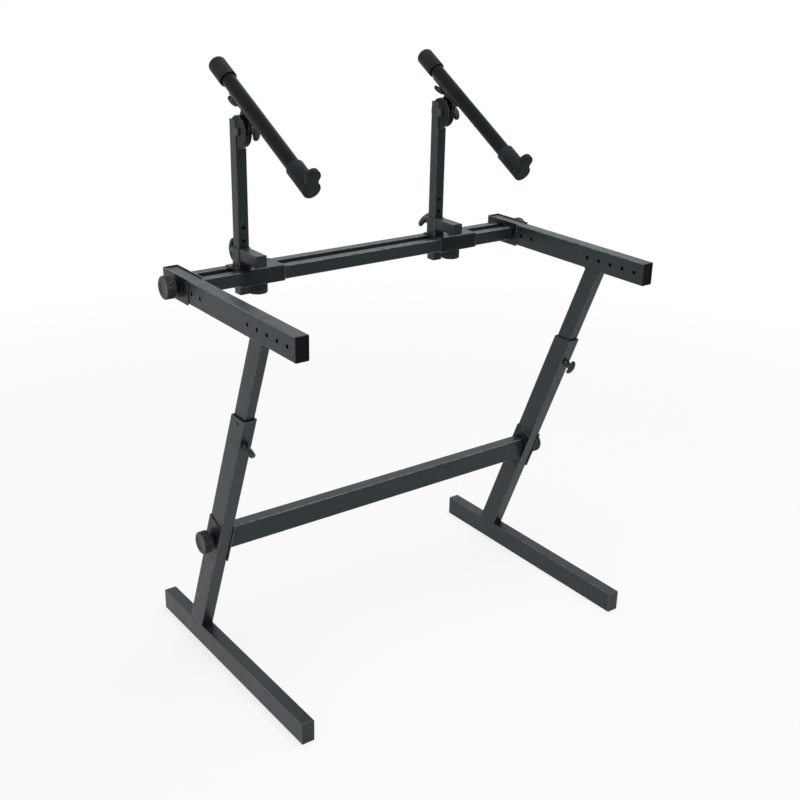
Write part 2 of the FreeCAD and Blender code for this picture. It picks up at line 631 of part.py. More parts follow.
def post(side):
    """The upright of a tier: a square tube whose top is cut away to one wall."""
    half = POST_SIDE / 2.0
    bar = hollow_bar(POST_SIDE, POST_SIDE, POST_TOP - POST_BOTTOM, POST_WALL, POST_CORNER)
    bar = moved(bar, 0, 0, POST_BOTTOM)
    end = half + PAST
    bar = bar.cut(block(-half + POST_WALL, end, -end, end, POST_TOP - POST_TAB, POST_TOP + PAST))
    middle = (POST_HOLES - 1) / 2.0
    for step in range(POST_HOLES):
        z = stub_centre_z + POST_HOLE_PITCH * (step - middle)
        bar = bar.cut(cylinder(POST_HOLE_RADIUS, Vector(0, -end, z), Vector(0, 1, 0), half))
    bar = moved(bar, TIER_POST_X[side], rail_pair_y, 0)
    head_line = Vector(TIER_POST_X[side] - POST_SIDE, pivot_y, pivot_z)
    return bar.cut(cylinder(PIVOT_HEAD_RADIUS + PIVOT_HEAD_ROOM, head_line, Vector(1, 0, 0), POST_SIDE))


def post_screw(side):
    """The winged screw behind the collar that locks the post's height."""
    tip = SCREW_BOSS + COLLAR_WALL + SLIDE_GAP - SCREW_REST
    shank = cylinder(SCREW_RADIUS, Vector(0, 0, -tip), Vector(0, 0, 1), tip + SCREW_SOCKET)
    screw = wing_knob(POST_WING).fuse(shank).removeSplitter()
    screw = turned(turned(screw, Vector(0, 0, 1), POST_WING_TURN[side]), Vector(1, 0, 0), -90.0)
    return moved(screw, TIER_POST_X[side], rail_pair_y + collar_outer / 2.0 + SCREW_BOSS, stub_centre_z)


def post_rosette(side):
    """The disc welded to the post's top that the tilting arm locks against."""
    start = Vector(rosette_face(side) - ROSETTE_THICK, pivot_y, pivot_z)
    disc = cylinder(ROSETTE_RADIUS, start, Vector(1, 0, 0), ROSETTE_THICK)
    disc = disc.makeFillet(ROSETTE_ROUND, round_edges(disc))
    return disc.cut(cylinder(BOLT_RADIUS, start, Vector(1, 0, 0), ROSETTE_THICK))


def pivot_bolt(side):
    """The bolt through both rosettes, its round head on the post's side."""
    face = rosette_face(side)
    seat = face - ROSETTE_THICK
    head_line = Vector(seat - PIVOT_HEAD, pivot_y, pivot_z)
    head = cylinder(PIVOT_HEAD_RADIUS, head_line, Vector(1, 0, 0), PIVOT_HEAD)
    crown = [edge for edge in head.Edges if edge.BoundBox.XMax < seat - PIVOT_HEAD / 2.0]
    head = head.makeFillet(PIVOT_HEAD_ROUND, crown)
    length = 2.0 * ROSETTE_THICK + PIVOT_NUT_REACH
    shank = cylinder(BOLT_RADIUS, Vector(seat, pivot_y, pivot_z), Vector(1, 0, 0), length)
    return head.fuse(shank).removeSplitter()


def pivot_knob(side):
    """The wing knob that draws the rosettes together."""
    socket = cylinder(BOLT_RADIUS + PIN_GAP, Vector(0, 0, 0), Vector(0, 0, 1), PIVOT_NUT_REACH + PAST)
    knob = wing_knob(PIVOT_WING).cut(socket)
    knob = turned(turned(knob, Vector(0, 0, 1), PIVOT_WING_TURN[side]), Vector(0, 1, 0), 90.0)
    return moved(knob, rosette_face(side) + ROSETTE_THICK, pivot_y, pivot_z)


def tilt_bracket(side):
    """The tilting rosette, its ear and the channel that cradles the support tube."""
    half = ROSETTE_THICK / 2.0
    disc = cylinder(ROSETTE_RADIUS, Vector(-half, 0, 0), Vector(1, 0, 0), ROSETTE_THICK)
    disc = disc.makeFillet(ROSETTE_ROUND, round_edges(disc))
    outline = [(EAR_FOOT[0], EAR_ROOT), (EAR_HEAD[0], channel_floor)]
    outline += [(EAR_HEAD[1], channel_floor), (EAR_FOOT[1], EAR_ROOT)]
    corners = [Vector(-half, along, rise) for along, rise in outline]
    ear = Part.Face(Part.makePolygon(corners + corners[:1])).extrude(Vector(ROSETTE_THICK, 0, 0))
    side_x = CHANNEL_WIDTH / 2.0
    cradle_x = side_x - PLATE
    seat = SUPPORT_RADIUS + CHANNEL_GAP
    high = SUPPORT_RISE - math.sqrt(seat ** 2 - cradle_x ** 2)
    channel = block(-side_x, side_x, CHANNEL_FRONT, CHANNEL_REAR, channel_floor, high)
    trough_floor = channel_floor + PLATE
    trough = block(-cradle_x, cradle_x, CHANNEL_FRONT, CHANNEL_REAR, trough_floor, high)
    channel = channel.cut(trough)
    under = channel_floor - PAST
    slot = block(-SLOT_HALF_WIDTH, SLOT_HALF_WIDTH, SLOT_FRONT, SLOT_REAR, under, high)
    for end in (SLOT_FRONT, SLOT_REAR):
        slot = slot.fuse(cylinder(SLOT_HALF_WIDTH, Vector(0, end, under), Vector(0, 0, 1), high - under))
    shape = disc.fuse(ear).fuse(channel.cut(slot))
    shape = shape.cut(cylinder(BOLT_RADIUS + PIN_GAP, Vector(-half, 0, 0), Vector(1, 0, 0), ROSETTE_THICK))
    return from_tilt(shape.removeSplitter(), side)


def support_tube(side):
    """The round tube that carries the upper keyboard, tapped for its screw."""
    length = SUPPORT_REAR - SUPPORT_FRONT
    start = Vector(0, SUPPORT_FRONT, SUPPORT_RISE)
    tube = cylinder(SUPPORT_RADIUS, start, Vector(0, 1, 0), length)
    tube = tube.cut(cylinder(SUPPORT_RADIUS - SUPPORT_WALL, start, Vector(0, 1, 0), length))
    under = Vector(0, TUBE_SCREW_ALONG, SUPPORT_RISE - SUPPORT_RADIUS - PAST)
    tube = tube.cut(cylinder(TUBE_SCREW_RADIUS + PIN_GAP, under, Vector(0, 0, 1), SUPPORT_RADIUS))
    return from_tilt(moved(tube, 0, TUBE_SHIFT[side], 0), side)


def tube_cap(side):
    """The rubber cap over the rear end of a support tube."""
    start = Vector(0, CAP_FRONT, SUPPORT_RISE)
    cap = cylinder(CAP_RADIUS, start, Vector(0, 1, 0), CAP_REAR - CAP_FRONT)
    rear_rim = [edge for edge in cap.Edges if edge.BoundBox.YMin > CAP_REAR - PAST]
    cap = cap.makeFillet(CAP_DOME, rear_rim)
    front_rim = [edge for edge in cap.Edges if edge.BoundBox.YMax < CAP_FRONT + PAST]
    cap = cap.makeFillet(CAP_ROUND, front_rim)
    depth = SUPPORT_REAR - CAP_FRONT + RUBBER_GAP
    bore = cylinder(SUPPORT_RADIUS + RUBBER_GAP, start, Vector(0, 1, 0), depth)
    return from_tilt(moved(cap.cut(bore), 0, TUBE_SHIFT[side], 0), side)


def end_stop(side):
    """The rubber sleeve at the front of a support tube, with the two-lobed lip that stops a keyboard."""
    lip_depth = LIP_REAR - LIP_FRONT
    sleeve_line = Vector(0, LIP_FRONT, SUPPORT_RISE)
    sleeve = cylinder(CAP_RADIUS, sleeve_line, Vector(0, 1, 0), SLEEVE_REAR - LIP_FRONT)
    lobe_centre = Vector(0, LIP_FRONT, SUPPORT_RISE + LIP_LOBE_RISE)
    lobe = cylinder(LIP_LOBE_RADIUS, lobe_centre, Vector(0, 1, 0), lip_depth)
    neck_top = SUPPORT_RISE + LIP_LOBE_RISE
    neck = block(-LIP_WAIST, LIP_WAIST, LIP_FRONT, LIP_REAR, SUPPORT_RISE, neck_top)
    stop = sleeve.fuse(lobe).fuse(neck).removeSplitter()
    rim = [edge for edge in stop.Edges if edge.BoundBox.YMax < LIP_FRONT + PAST]
    stop = stop.makeFillet(LIP_ROUND, rim)
    start = Vector(0, SUPPORT_FRONT - RUBBER_GAP, SUPPORT_RISE)
    depth = SLEEVE_REAR - SUPPORT_FRONT + PAST
    stop = stop.cut(cylinder(SUPPORT_RADIUS + RUBBER_GAP, start, Vector(0, 1, 0), depth))
    stop = turned(stop, Vector(0, 1, 0), LIP_TURN, Vector(0, 0, SUPPORT_RISE))
    return from_tilt(moved(stop, 0, TUBE_SHIFT[side], 0), side)


def tube_screw(side):
    """The winged screw under the channel that locks the support tube's reach."""
    tip = SUPPORT_RISE - SUPPORT_RADIUS - channel_floor + TUBE_SCREW_ENTRY
    shank = cylinder(TUBE_SCREW_RADIUS, Vector(0, 0, -tip), Vector(0, 0, 1), tip + TUBE_SCREW_SOCKET)
    screw = wing_knob(TUBE_WING).fuse(shank)
    screw = turned(screw.removeSplitter(), Vector(0, 0, 1), TUBE_WING_TURN[side])
    screw = turned(screw, Vector(1, 0, 0), 180.0)
    along = TUBE_SCREW_ALONG + TUBE_SHIFT[side]
    return from_tilt(moved(screw, 0, along, channel_floor), side)


# ---------------------------------------------------------------- all pieces
def pieces():
    """Every node of the stand with its shape."""
    nodes = {
        "foot_end_plugs": foot_end_plugs(),
        "leg_bushes": leg_bushes(),
        "bush_screws": bush_screws(),
        "lower_crossbar": lower_crossbar(),
        "lower_brackets": lower_brackets(),
        "lower_bracket_nuts": bracket_nuts(lower_cheek_x, crossbar_y, CROSSBAR_Z, TUBE_WIDTH),
        "inner_leg_plugs": inner_leg_plugs(),
        "arm_end_plugs": arm_end_plugs(),
        "front_rail": rail(front_rail_y),
        "rear_rail": rail(rear_rail_y),
        "rear_brackets": rear_brackets(),
        "rear_bracket_nuts": bracket_nuts(rear_cheek_x, rear_bolt_y, arm_centre_z, TUBE_WIDTH),
    }
    makers = {
        "foot": foot,
        "outer_leg": outer_leg,
        "lower_knob": lower_knob,
        "lower_bolt": lower_bolt,
        "leg_clamp_screw": leg_clamp_screw,
        "inner_leg": inner_leg,
        "side_arm": side_arm,
        "rear_knob": rear_knob,
        "rear_bolt": rear_bolt,
        "rail_clamp": rail_clamp,
        "post_collar": post_collar,
        "rail_knob": rail_knob,
        "rail_bolt": rail_bolt,
        "rail_nut": rail_nut,
        "post": post,
        "post_screw": post_screw,
        "post_rosette": post_rosette,
        "pivot_bolt": pivot_bolt,
        "pivot_knob": pivot_knob,
        "tilt_bracket": tilt_bracket,
        "support_tube": support_tube,
        "tube_cap": tube_cap,
        "end_stop": end_stop,
        "tube_screw": tube_screw,
    }
    for name, maker in makers.items():
        for side in SIDES:
            nodes[f"{name}_{side}"] = maker(side)
    return nodes


os.makedirs("parts", exist_ok=True)
for node, shape in sorted(pieces().items()):
    shape.exportStep(f"parts/{node}.step")
    print(node, shape.isValid(), len(shape.Solids), round(shape.Volume))
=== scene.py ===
"""The looks of a two-tier keyboard stand: finishes, moulded knobs, weld beads, rubber ends and a studio.

Sizes are in millimetres and become metres where a mesh is made. Places come from the stand's own frame:
its joints give the seats of the knobs and the tilt of the support arms.
"""

import json
import logging
import math
from dataclasses import dataclass
from enum import Enum
from typing import Any, Optional, Sequence

import bmesh
import bpy
from bmesh.types import BMesh, BMVert
from bpy.types import Material, Node, NodeSocket, NodeTree, Object
from mathutils import Matrix, Vector

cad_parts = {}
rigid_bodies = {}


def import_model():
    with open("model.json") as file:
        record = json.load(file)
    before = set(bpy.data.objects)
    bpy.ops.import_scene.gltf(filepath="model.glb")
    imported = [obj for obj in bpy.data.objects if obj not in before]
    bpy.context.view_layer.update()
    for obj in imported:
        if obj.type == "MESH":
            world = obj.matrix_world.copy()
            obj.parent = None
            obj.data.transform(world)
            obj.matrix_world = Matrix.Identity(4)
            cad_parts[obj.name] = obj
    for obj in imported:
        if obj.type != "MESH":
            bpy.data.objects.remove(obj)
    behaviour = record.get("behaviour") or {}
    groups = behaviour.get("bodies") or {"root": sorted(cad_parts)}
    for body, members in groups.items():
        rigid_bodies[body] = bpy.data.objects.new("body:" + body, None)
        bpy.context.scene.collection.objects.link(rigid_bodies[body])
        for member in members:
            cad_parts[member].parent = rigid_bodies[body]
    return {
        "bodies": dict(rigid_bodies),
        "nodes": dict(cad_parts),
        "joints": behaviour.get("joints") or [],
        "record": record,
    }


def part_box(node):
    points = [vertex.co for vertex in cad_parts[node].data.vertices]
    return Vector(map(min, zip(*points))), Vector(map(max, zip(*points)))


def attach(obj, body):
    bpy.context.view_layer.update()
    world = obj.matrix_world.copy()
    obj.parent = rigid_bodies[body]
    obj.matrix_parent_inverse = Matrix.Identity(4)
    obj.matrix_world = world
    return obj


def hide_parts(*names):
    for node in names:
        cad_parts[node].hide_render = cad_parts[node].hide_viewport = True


LOG = logging.getLogger("keyboard_stand")
MM = 0.001
PHOTO_WIDTH = 800
SENSOR_WIDTH = 36.0
# Painted edge highlight: the width, the mask and the patchiness of the lighter lines laid along hard edges
# and rounded tube corners.
EDGE_WIDTH = 2.0
EDGE_SAMPLES = 4
EDGE_AGREEMENT = (0.995, 0.86)
CORNER_PEAK = 0.5
CORNER_SPREAD = 0.26
HIGHLIGHT_PATCHES = (0.25, 0.6)
FAINTEST_HIGHLIGHT = 0.35
TONE_DETAIL = 4.0
HIGHLIGHT_SCALE, HIGHLIGHT_DETAIL = 9.0, 2.0
GLOSS_SCALE, GLOSS_DETAIL = 6.0, 3.0
GRAIN_DETAIL = 2.0
TONE_STOPS = (0.32, 0.72)
GLOSS_STOPS = (0.3, 0.7)
COLOUR_MIX_INPUTS = (0, 6, 7)
COLOUR_MIX_RESULT = 2
WHITE = (1.0, 1.0, 1.0, 1.0)
# The tint of the painted edge highlight.
COOL_SHEEN = (0.78, 0.96, 1.0, 1.0)
HIGHLIGHT_TINT = (1.0, 1.06, 1.08)
POLE = 0.2
TURNED_SEGMENTS = 72
TUBE_SEGMENTS = 96
SOFTENED_ANGLE = 30.0
SQUARING = 0.7
WALL_RINGS = (0.3, 0.6)
DISH_EDGE = ((1.6, 0.0), (0.6, -0.3), (0.0, -1.1), (-1.2, -1.5))
BEAD_ROUNDING = 2
BEAD_SWELL = (0.82, 1.08)
CREST_SHARE = 0.42
COIL_STEPS, CREST_SIDES = 28, 6
SIDES = ("left", "right")
CORNERS = ((0, 0), (1, 0), (1, 1), (0, 1))
CROSSWISE_TUBES = ("lower_crossbar", "front_rail", "rear_rail")

Pair = tuple[float, float]
Triple = tuple[float, float, float]
Profile = list[Pair]


class Slot(Enum):
    """The stand's finishes, by the names of the record's material slots."""

    FRAME = "frame_black"
    TUBE = "tube_black"
    BRACKET = "bracket_black"
    ROSETTE = "rosette_black"
    KNOB = "knob_plastic"
    PLUG = "plug_plastic"
    RUBBER = "rubber"
    HARDWARE = "black_steel"


class Edges(Enum):
    """Where a piece's coat carries a painted highlight, a lighter line: nowhere, on hard edges, or on the
    rounded corners of a tube.

    ALONG is for tubes that lie square to X, ACROSS for tubes that run along X.
    """

    NONE = "plain"
    HARD = "hard"
    ALONG = "along"
    ACROSS = "across"


# ---- node trees
class Wiring:
    """Adds nodes to a tree, sets their inputs and joins them."""

    def __init__(self, tree: NodeTree) -> None:
        """Keeps the tree that the nodes go in."""
        self.tree = tree

    def add(self, kind: str, settings: Optional[dict[str, Any]] = None, **feeds: Any) -> Node:
        """Adds a node.

        Args:
            kind: The node's type.
            settings: Properties set on the node.
            feeds: Input values or sockets, by input name with underscores for spaces.

        Returns:
            The node.
        """
        node = self.tree.nodes.new(kind)
        for label, value in (settings or {}).items():
            setattr(node, label, value)
        for label, value in feeds.items():
            self.feed(node.inputs[label.replace("_", " ")], value)
        return node

    def feed(self, socket: NodeSocket, value: Any) -> None:
        """Links a socket to an input, or sets the input's value.

        Args:
            socket: The input.
            value: The value, or the socket that gives it.
        """
        if isinstance(value, NodeSocket):
            self.tree.links.new(value, socket)
        else:
            socket.default_value = value

    def maths(self, operation: str, *values: Any) -> NodeSocket:
        """A maths node's result.

        Args:
            operation: The operation.
            values: Its values or sockets, in order.

        Returns:
            The result's socket.
        """
        node = self.add("ShaderNodeMath", {"operation": operation})
        for socket, value in zip(node.inputs, values):
            self.feed(socket, value)
        return node.outputs[0]

    def spread(
        self, value: Any, source: tuple[Any, Any], target: Pair = (0.0, 1.0),
        smooth: bool = False,
    ) -> NodeSocket:
        """Carries a value from one range to another, held at both ends.

        Args:
            value: The value or its socket.
            source: The range that it comes from.
            target: The range that it goes to.
            smooth: True to ease into both ends.

        Returns:
            The carried value's socket.
        """
        ease = {"interpolation_type": "SMOOTHSTEP" if smooth else "LINEAR"}
        ends = {"From Min": source[0], "From Max": source[1], "To Min": target[0], "To Max": target[1]}
        node = self.add("ShaderNodeMapRange", ease, Value=value, **ends)
        return node.outputs["Result"]


# ---- finishes
@dataclass(frozen=True)
class Finish:
    """A procedural finish: two tones that drift into each other, a grain and a gloss.

    The drift, grain and gloss follow Object coordinates, so they stay put on every piece.
    """

    slot: Slot
    tone: Triple
    worn: Triple
    drift: float
    gloss_low: float
    gloss_high: float
    grain: float
    grain_depth: float
    # edge: the tone of the painted highlight laid along the edges.
    edge: float = 0.0
    metallic: float = 0.0
    specular: float = 0.32
    bump: float = 0.4

    @staticmethod
    def hard_edges(web: Wiring) -> NodeSocket:
        """How far a point's rounded normal leaves its face: nought on a flat, one on a hard edge.

        Args:
            web: The material's nodes.

        Returns:
            The share's socket.
        """
        rounded = web.add("ShaderNodeBevel", {"samples": EDGE_SAMPLES}, Radius=EDGE_WIDTH * MM)
        flat = web.add("ShaderNodeNewGeometry")
        agree = web.add("ShaderNodeVectorMath", {"operation": "DOT_PRODUCT"})
        web.feed(agree.inputs[0], rounded.outputs["Normal"])
        web.feed(agree.inputs[1], flat.outputs["True Normal"])
        return web.spread(agree.outputs["Value"], EDGE_AGREEMENT)

    @staticmethod
    def round_corners(web: Wiring, edges: Edges) -> NodeSocket:
        """One in the middle of a tube's rounded corner, nought on its flats.

        Args:
            web: The material's nodes.
            edges: Which way the tube runs.

        Returns:
            The share's socket.
        """
        facing = web.add("ShaderNodeSeparateXYZ", Vector=web.add("ShaderNodeTexCoord").outputs["Normal"])
        first, second = ("Y", "Z") if edges is Edges.ACROSS else ("X", "X")
        turned = web.maths("MULTIPLY", facing.outputs[first], facing.outputs[second])
        return web.maths("COMPARE", web.maths("ABSOLUTE", turned), CORNER_PEAK, CORNER_SPREAD)

    def highlighted(self, web: Wiring, edges: Edges, coat: NodeSocket,
                 patches: NodeSocket) -> NodeSocket:
        """The coat's colour, lightened by a painted highlight along the edges.

        Args:
            web: The material's nodes.
            edges: Which edges are rubbed.
            coat: The coat's own colour.
            patches: A noise that makes the painted edge highlight uneven.

        Returns:
            The colour's socket.
        """
        hard = edges is Edges.HARD
        # The mask of the painted highlight: hard edges or rounded tube corners.
        share = self.hard_edges(web) if hard else self.round_corners(web, edges)
        patchy_highlight = web.spread(patches, HIGHLIGHT_PATCHES, (FAINTEST_HIGHLIGHT, 1.0))
        # Painted highlight: a lighter colour mixed in along the edges, standing in for the light that they
        # catch.
        mix = web.add("ShaderNodeMix", {"data_type": "RGBA"})
        highlight_colour = (*(self.edge * tint for tint in HIGHLIGHT_TINT), 1.0)
        for index, value in zip(COLOUR_MIX_INPUTS, (web.maths("MULTIPLY", share, patchy_highlight), coat, highlight_colour)):
            web.feed(mix.inputs[index], value)
        return mix.outputs[COLOUR_MIX_RESULT]

    def material(self, edges: Edges) -> Material:
        """Builds the node material.

        Args:
            edges: Where the coat carries a painted edge highlight.

        Returns:
            The material, named after the record's slot.
        """
        material = bpy.data.materials.new(f"{self.slot.value}_{edges.value}")
        material.use_nodes = True
        web = Wiring(material.node_tree)
        place = web.add("ShaderNodeTexCoord").outputs["Object"]

        def noise(scale: float, detail: float) -> NodeSocket:
            """A noise field on the piece's own coordinates."""
            field = web.add("ShaderNodeTexNoise", Vector=place, Scale=scale, Detail=detail)
            return field.outputs["Fac"]

        ramp = web.add("ShaderNodeValToRGB", Fac=noise(self.drift, TONE_DETAIL))
        for stop, position, tone in zip(ramp.color_ramp.elements, TONE_STOPS, (self.tone, self.worn)):
            stop.position = position
            stop.color = (*tone, 1.0)
        colour = ramp.outputs["Color"]
        # Painted highlight along the edges.
        if edges is not Edges.NONE:
            colour = self.highlighted(web, edges, colour, noise(self.drift * HIGHLIGHT_SCALE, HIGHLIGHT_DETAIL))
        sheen = noise(self.drift * GLOSS_SCALE, GLOSS_DETAIL)
        gloss = web.spread(sheen, GLOSS_STOPS, (self.gloss_low, self.gloss_high))
        grain = web.add("ShaderNodeBump", Strength=self.bump, Distance=self.grain_depth * MM,
                        Height=noise(self.grain, GRAIN_DETAIL))
        shader = web.tree.nodes["Principled BSDF"]
        for label, value in (
            ("Base Color", colour), ("Roughness", gloss), ("Normal", grain.outputs["Normal"]),
            ("Metallic", self.metallic), ("Specular IOR Level", self.specular),
            ("Specular Tint", COOL_SHEEN),
        ):
            web.feed(shader.inputs[label], value)
        return material


# The ninth value of each finish, before the keywords, is the tone of its painted edge highlight.
FINISHES = (
    Finish(Slot.FRAME, (0.015, 0.0195, 0.0225), (0.021, 0.0265, 0.030), 9.0, 0.32, 0.42, 900.0, 0.03, 0.17),
    Finish(Slot.TUBE, (0.005, 0.0065, 0.0075), (0.008, 0.010, 0.011), 12.0, 0.30, 0.38, 900.0, 0.02, 0.04,
           specular=0.10),
    Finish(Slot.BRACKET, (0.009, 0.012, 0.014), (0.014, 0.018, 0.021), 14.0, 0.26, 0.36, 900.0, 0.03, 0.26,
           specular=0.20),
    Finish(Slot.ROSETTE, (0.004, 0.005, 0.006), (0.008, 0.010, 0.011), 20.0, 0.20, 0.30, 900.0, 0.02, 0.26,
           specular=0.10),
    Finish(Slot.KNOB, (0.019, 0.024, 0.025), (0.029, 0.035, 0.036), 40.0, 0.36, 0.48, 1400.0, 0.03, 0.14),
    Finish(Slot.PLUG, (0.004, 0.005, 0.006), (0.008, 0.009, 0.010), 30.0, 0.55, 0.68, 1200.0, 0.03, 0.02,
           specular=0.12),
    Finish(Slot.RUBBER, (0.008, 0.010, 0.011), (0.013, 0.016, 0.017), 25.0, 0.46, 0.58, 1600.0, 0.03, 0.08,
           specular=0.16),
    Finish(Slot.HARDWARE, (0.030, 0.034, 0.037), (0.055, 0.060, 0.064), 50.0, 0.26, 0.38, 900.0, 0.02, 0.2,
           metallic=0.4),
)


class Paintbox:
    """Mixes each finish once for each way that its edges carry a painted highlight."""

    def __init__(self, finishes: Sequence[Finish]) -> None:
        """Keeps the finishes by their slots."""
        self.finishes = {finish.slot: finish for finish in finishes}
        self.mixed: dict[tuple[Slot, Edges], Material] = {}

    def coat(self, slot: Slot, edges: Edges = Edges.HARD) -> Material:
        """The material of a finish.

        Args:
            slot: The finish.
            edges: Where it carries a painted edge highlight.

        Returns:
            The material, the same one each time.
        """
        key = (slot, edges)
        if key not in self.mixed:
            self.mixed[key] = self.finishes[slot].material(edges)
        return self.mixed[key]

    def dress_nodes(self, frame: dict[str, Any]) -> None:
        """Gives each CAD node the finish that the record names for it.

        Args:
            frame: The loaded frame.
        """
        for entry in frame["record"]["subparts"]:
            name, slot = entry["node"], Slot(entry["material_slot"])
            edges = Edges.HARD
            if slot is Slot.FRAME:
                edges = Edges.ACROSS if name in CROSSWISE_TUBES else Edges.ALONG
            for holder in frame["nodes"][name].material_slots:
                holder.material = self.coat(slot, edges)
            LOG.info("%s in %s", name, slot.value)


# ---- places and meshes
@dataclass(frozen=True)
class Seat:
    """A place in the shared frame, in metres, and the direction that leads out of it."""

    point: Vector
    axis: Vector
    turn: float = 0.0

    def matrix(self) -> Matrix:
        """Takes a shape drawn in metres on the origin, standing up Z, to this seat.

        Returns:
            The matrix that moves and turns it.
        """
        upright = Vector((0.0, 0.0, 1.0)).rotation_difference(self.axis).to_matrix().to_4x4()
        turned = Matrix.Rotation(math.radians(self.turn), 4, "Z")
        return Matrix.Translation(self.point) @ upright @ turned

    def shifted(self, coordinate: int, value: float) -> "Seat":
        """The same seat with one coordinate of its point, in metres, set anew.

        Args:
            coordinate: Nought for X, one for Y, two for Z.
            value: Its new value, in metres.

        Returns:
            The new seat.
        """
        point = self.point.copy()
        point[coordinate] = value
        return Seat(point, self.axis, self.turn)


class Stand:
    """The loaded frame, with its joints by name."""

    def __init__(self, frame: dict[str, Any]) -> None:
        """Keeps the frame that the loader returned."""
        self.frame = frame
        self.joints = {joint["name"]: joint for joint in frame["joints"]}

    def seat(self, joint: str, turn: float = 0.0) -> Seat:
        """The seat of a joint by its name, with the degrees that its piece is turned."""
        found = self.joints[joint]
        return Seat(Vector(found["pos_m"]), Vector(found["axis"]).normalized(), turn)

    def tilt_matrix(self, side: str) -> Matrix:
        """The frame of a support arm: Y along the tube to the rear, Z square to it, from the pivot.

        Args:
            side: Left or right.

        Returns:
            The matrix from that frame to the shared one.
        """
        along = Vector(self.joints[f"support_{side}_reach"]["axis"]).normalized()
        across = Vector((1.0, 0.0, 0.0))
        rise = across.cross(along)
        basis = Matrix((across, along, rise)).transposed().to_4x4()
        return Matrix.Translation(Vector(self.joints[f"arm_{side}_tilt"]["pos_m"])) @ basis


def placed(name: str, content: Any) -> Object:
    """Puts a new object with a mesh, lamp or lens in the scene.

    Args:
        name: The object's name.
        content: The mesh, lamp or lens.

    Returns:
        The object.
    """
    holder = bpy.data.objects.new(name, content)
    bpy.context.scene.collection.objects.link(holder)
    return holder


def new_piece(name: str, shape: BMesh, material: Material) -> Object:
    """Makes an object of a shape drawn in millimetres.

    Args:
        name: The piece's name.
        shape: The shape, which is freed.
        material: The piece's finish.

    Returns:
        The linked object, its mesh in metres.
    """
    bmesh.ops.scale(shape, vec=(MM, MM, MM), verts=shape.verts)
    bmesh.ops.recalc_face_normals(shape, faces=shape.faces)
    mesh = bpy.data.meshes.new(name)
    shape.to_mesh(mesh)
    shape.free()
    mesh.materials.append(material)
    return placed(name, mesh)


def settle(piece: Object, place: Matrix, crease: float = 35.0) -> Object:
    """Applies a piece's modifiers and its place, and smooths all but its sharp edges.

    Args:
        piece: The piece, drawn on the origin.
        place: Where it goes.
        crease: Degrees past which an edge stays sharp.

    Returns:
        The same piece, with a plain mesh and its object on the origin.
    """
    bpy.context.view_layer.update()
    graph = bpy.context.evaluated_depsgraph_get()
    mesh = bpy.data.meshes.new_from_object(piece.evaluated_get(graph))
    piece.modifiers.clear()
    piece.data = mesh
    mesh.transform(place)
    mesh.shade_smooth()
    mesh.set_sharp_from_angle(angle=math.radians(crease))
    return piece


def join_rings(shape: BMesh, rings: Sequence[Sequence[BMVert]]) -> None:
    """Skins closed rings of equal length and caps the first and the last.

    Args:
        shape: The shape that holds the rings.
        rings: The rings in order.
    """
    count = len(rings[0])
    for lower, upper in zip(rings, rings[1:]):
        for i in range(count):
            j = (i + 1) % count
            shape.faces.new((lower[i], lower[j], upper[j], upper[i]))
    shape.faces.new(list(reversed(rings[0])))
    shape.faces.new(rings[-1])


def merge(shape: BMesh, other: BMesh) -> None:
    """Adds a closed shape to another.

    Args:
        shape: The shape that grows.
        other: The shape that is added, which is freed.
    """
    bmesh.ops.recalc_face_normals(other, faces=other.faces)
    carrier = bpy.data.meshes.new("carrier")
    other.to_mesh(carrier)
    other.free()
    shape.from_mesh(carrier)
    bpy.data.meshes.remove(carrier)


def lathe(profile: Profile, segments: int) -> BMesh:
    """Turns a profile about Z.

    Args:
        profile: Radius and height of each ring, from the foot to the crown; both ends are capped.
        segments: Faces round the axis.

    Returns:
        The closed shape, in millimetres.
    """
    shape = bmesh.new()
    rings = []
    for radius, height in profile:
        ring = []
        for step in range(segments):
            angle = 2.0 * math.pi * step / segments
            ring.append(shape.verts.new((radius * math.cos(angle), radius * math.sin(angle), height)))
        rings.append(ring)
    join_rings(shape, rings)
    return shape


def squared(value: float) -> float:
    """Pushes a sine or cosine outwards, which squares a round section."""
    return math.copysign(abs(value) ** SQUARING, value)


def arc(
    centre: Pair, radius: float, start: float, end: float, steps: int
) -> Profile:
    """Points of an arc.

    Args:
        centre: The arc's centre.
        radius: The arc's radius.
        start: Degrees at the first point.
        end: Degrees at the last point.
        steps: How many spans the arc has.

    Returns:
        The points, both ends included.
    """
    points = []
    for step in range(steps + 1):
        angle = math.radians(start + (end - start) * step / steps)
        points.append((centre[0] + radius * math.cos(angle), centre[1] + radius * math.sin(angle)))
    return points


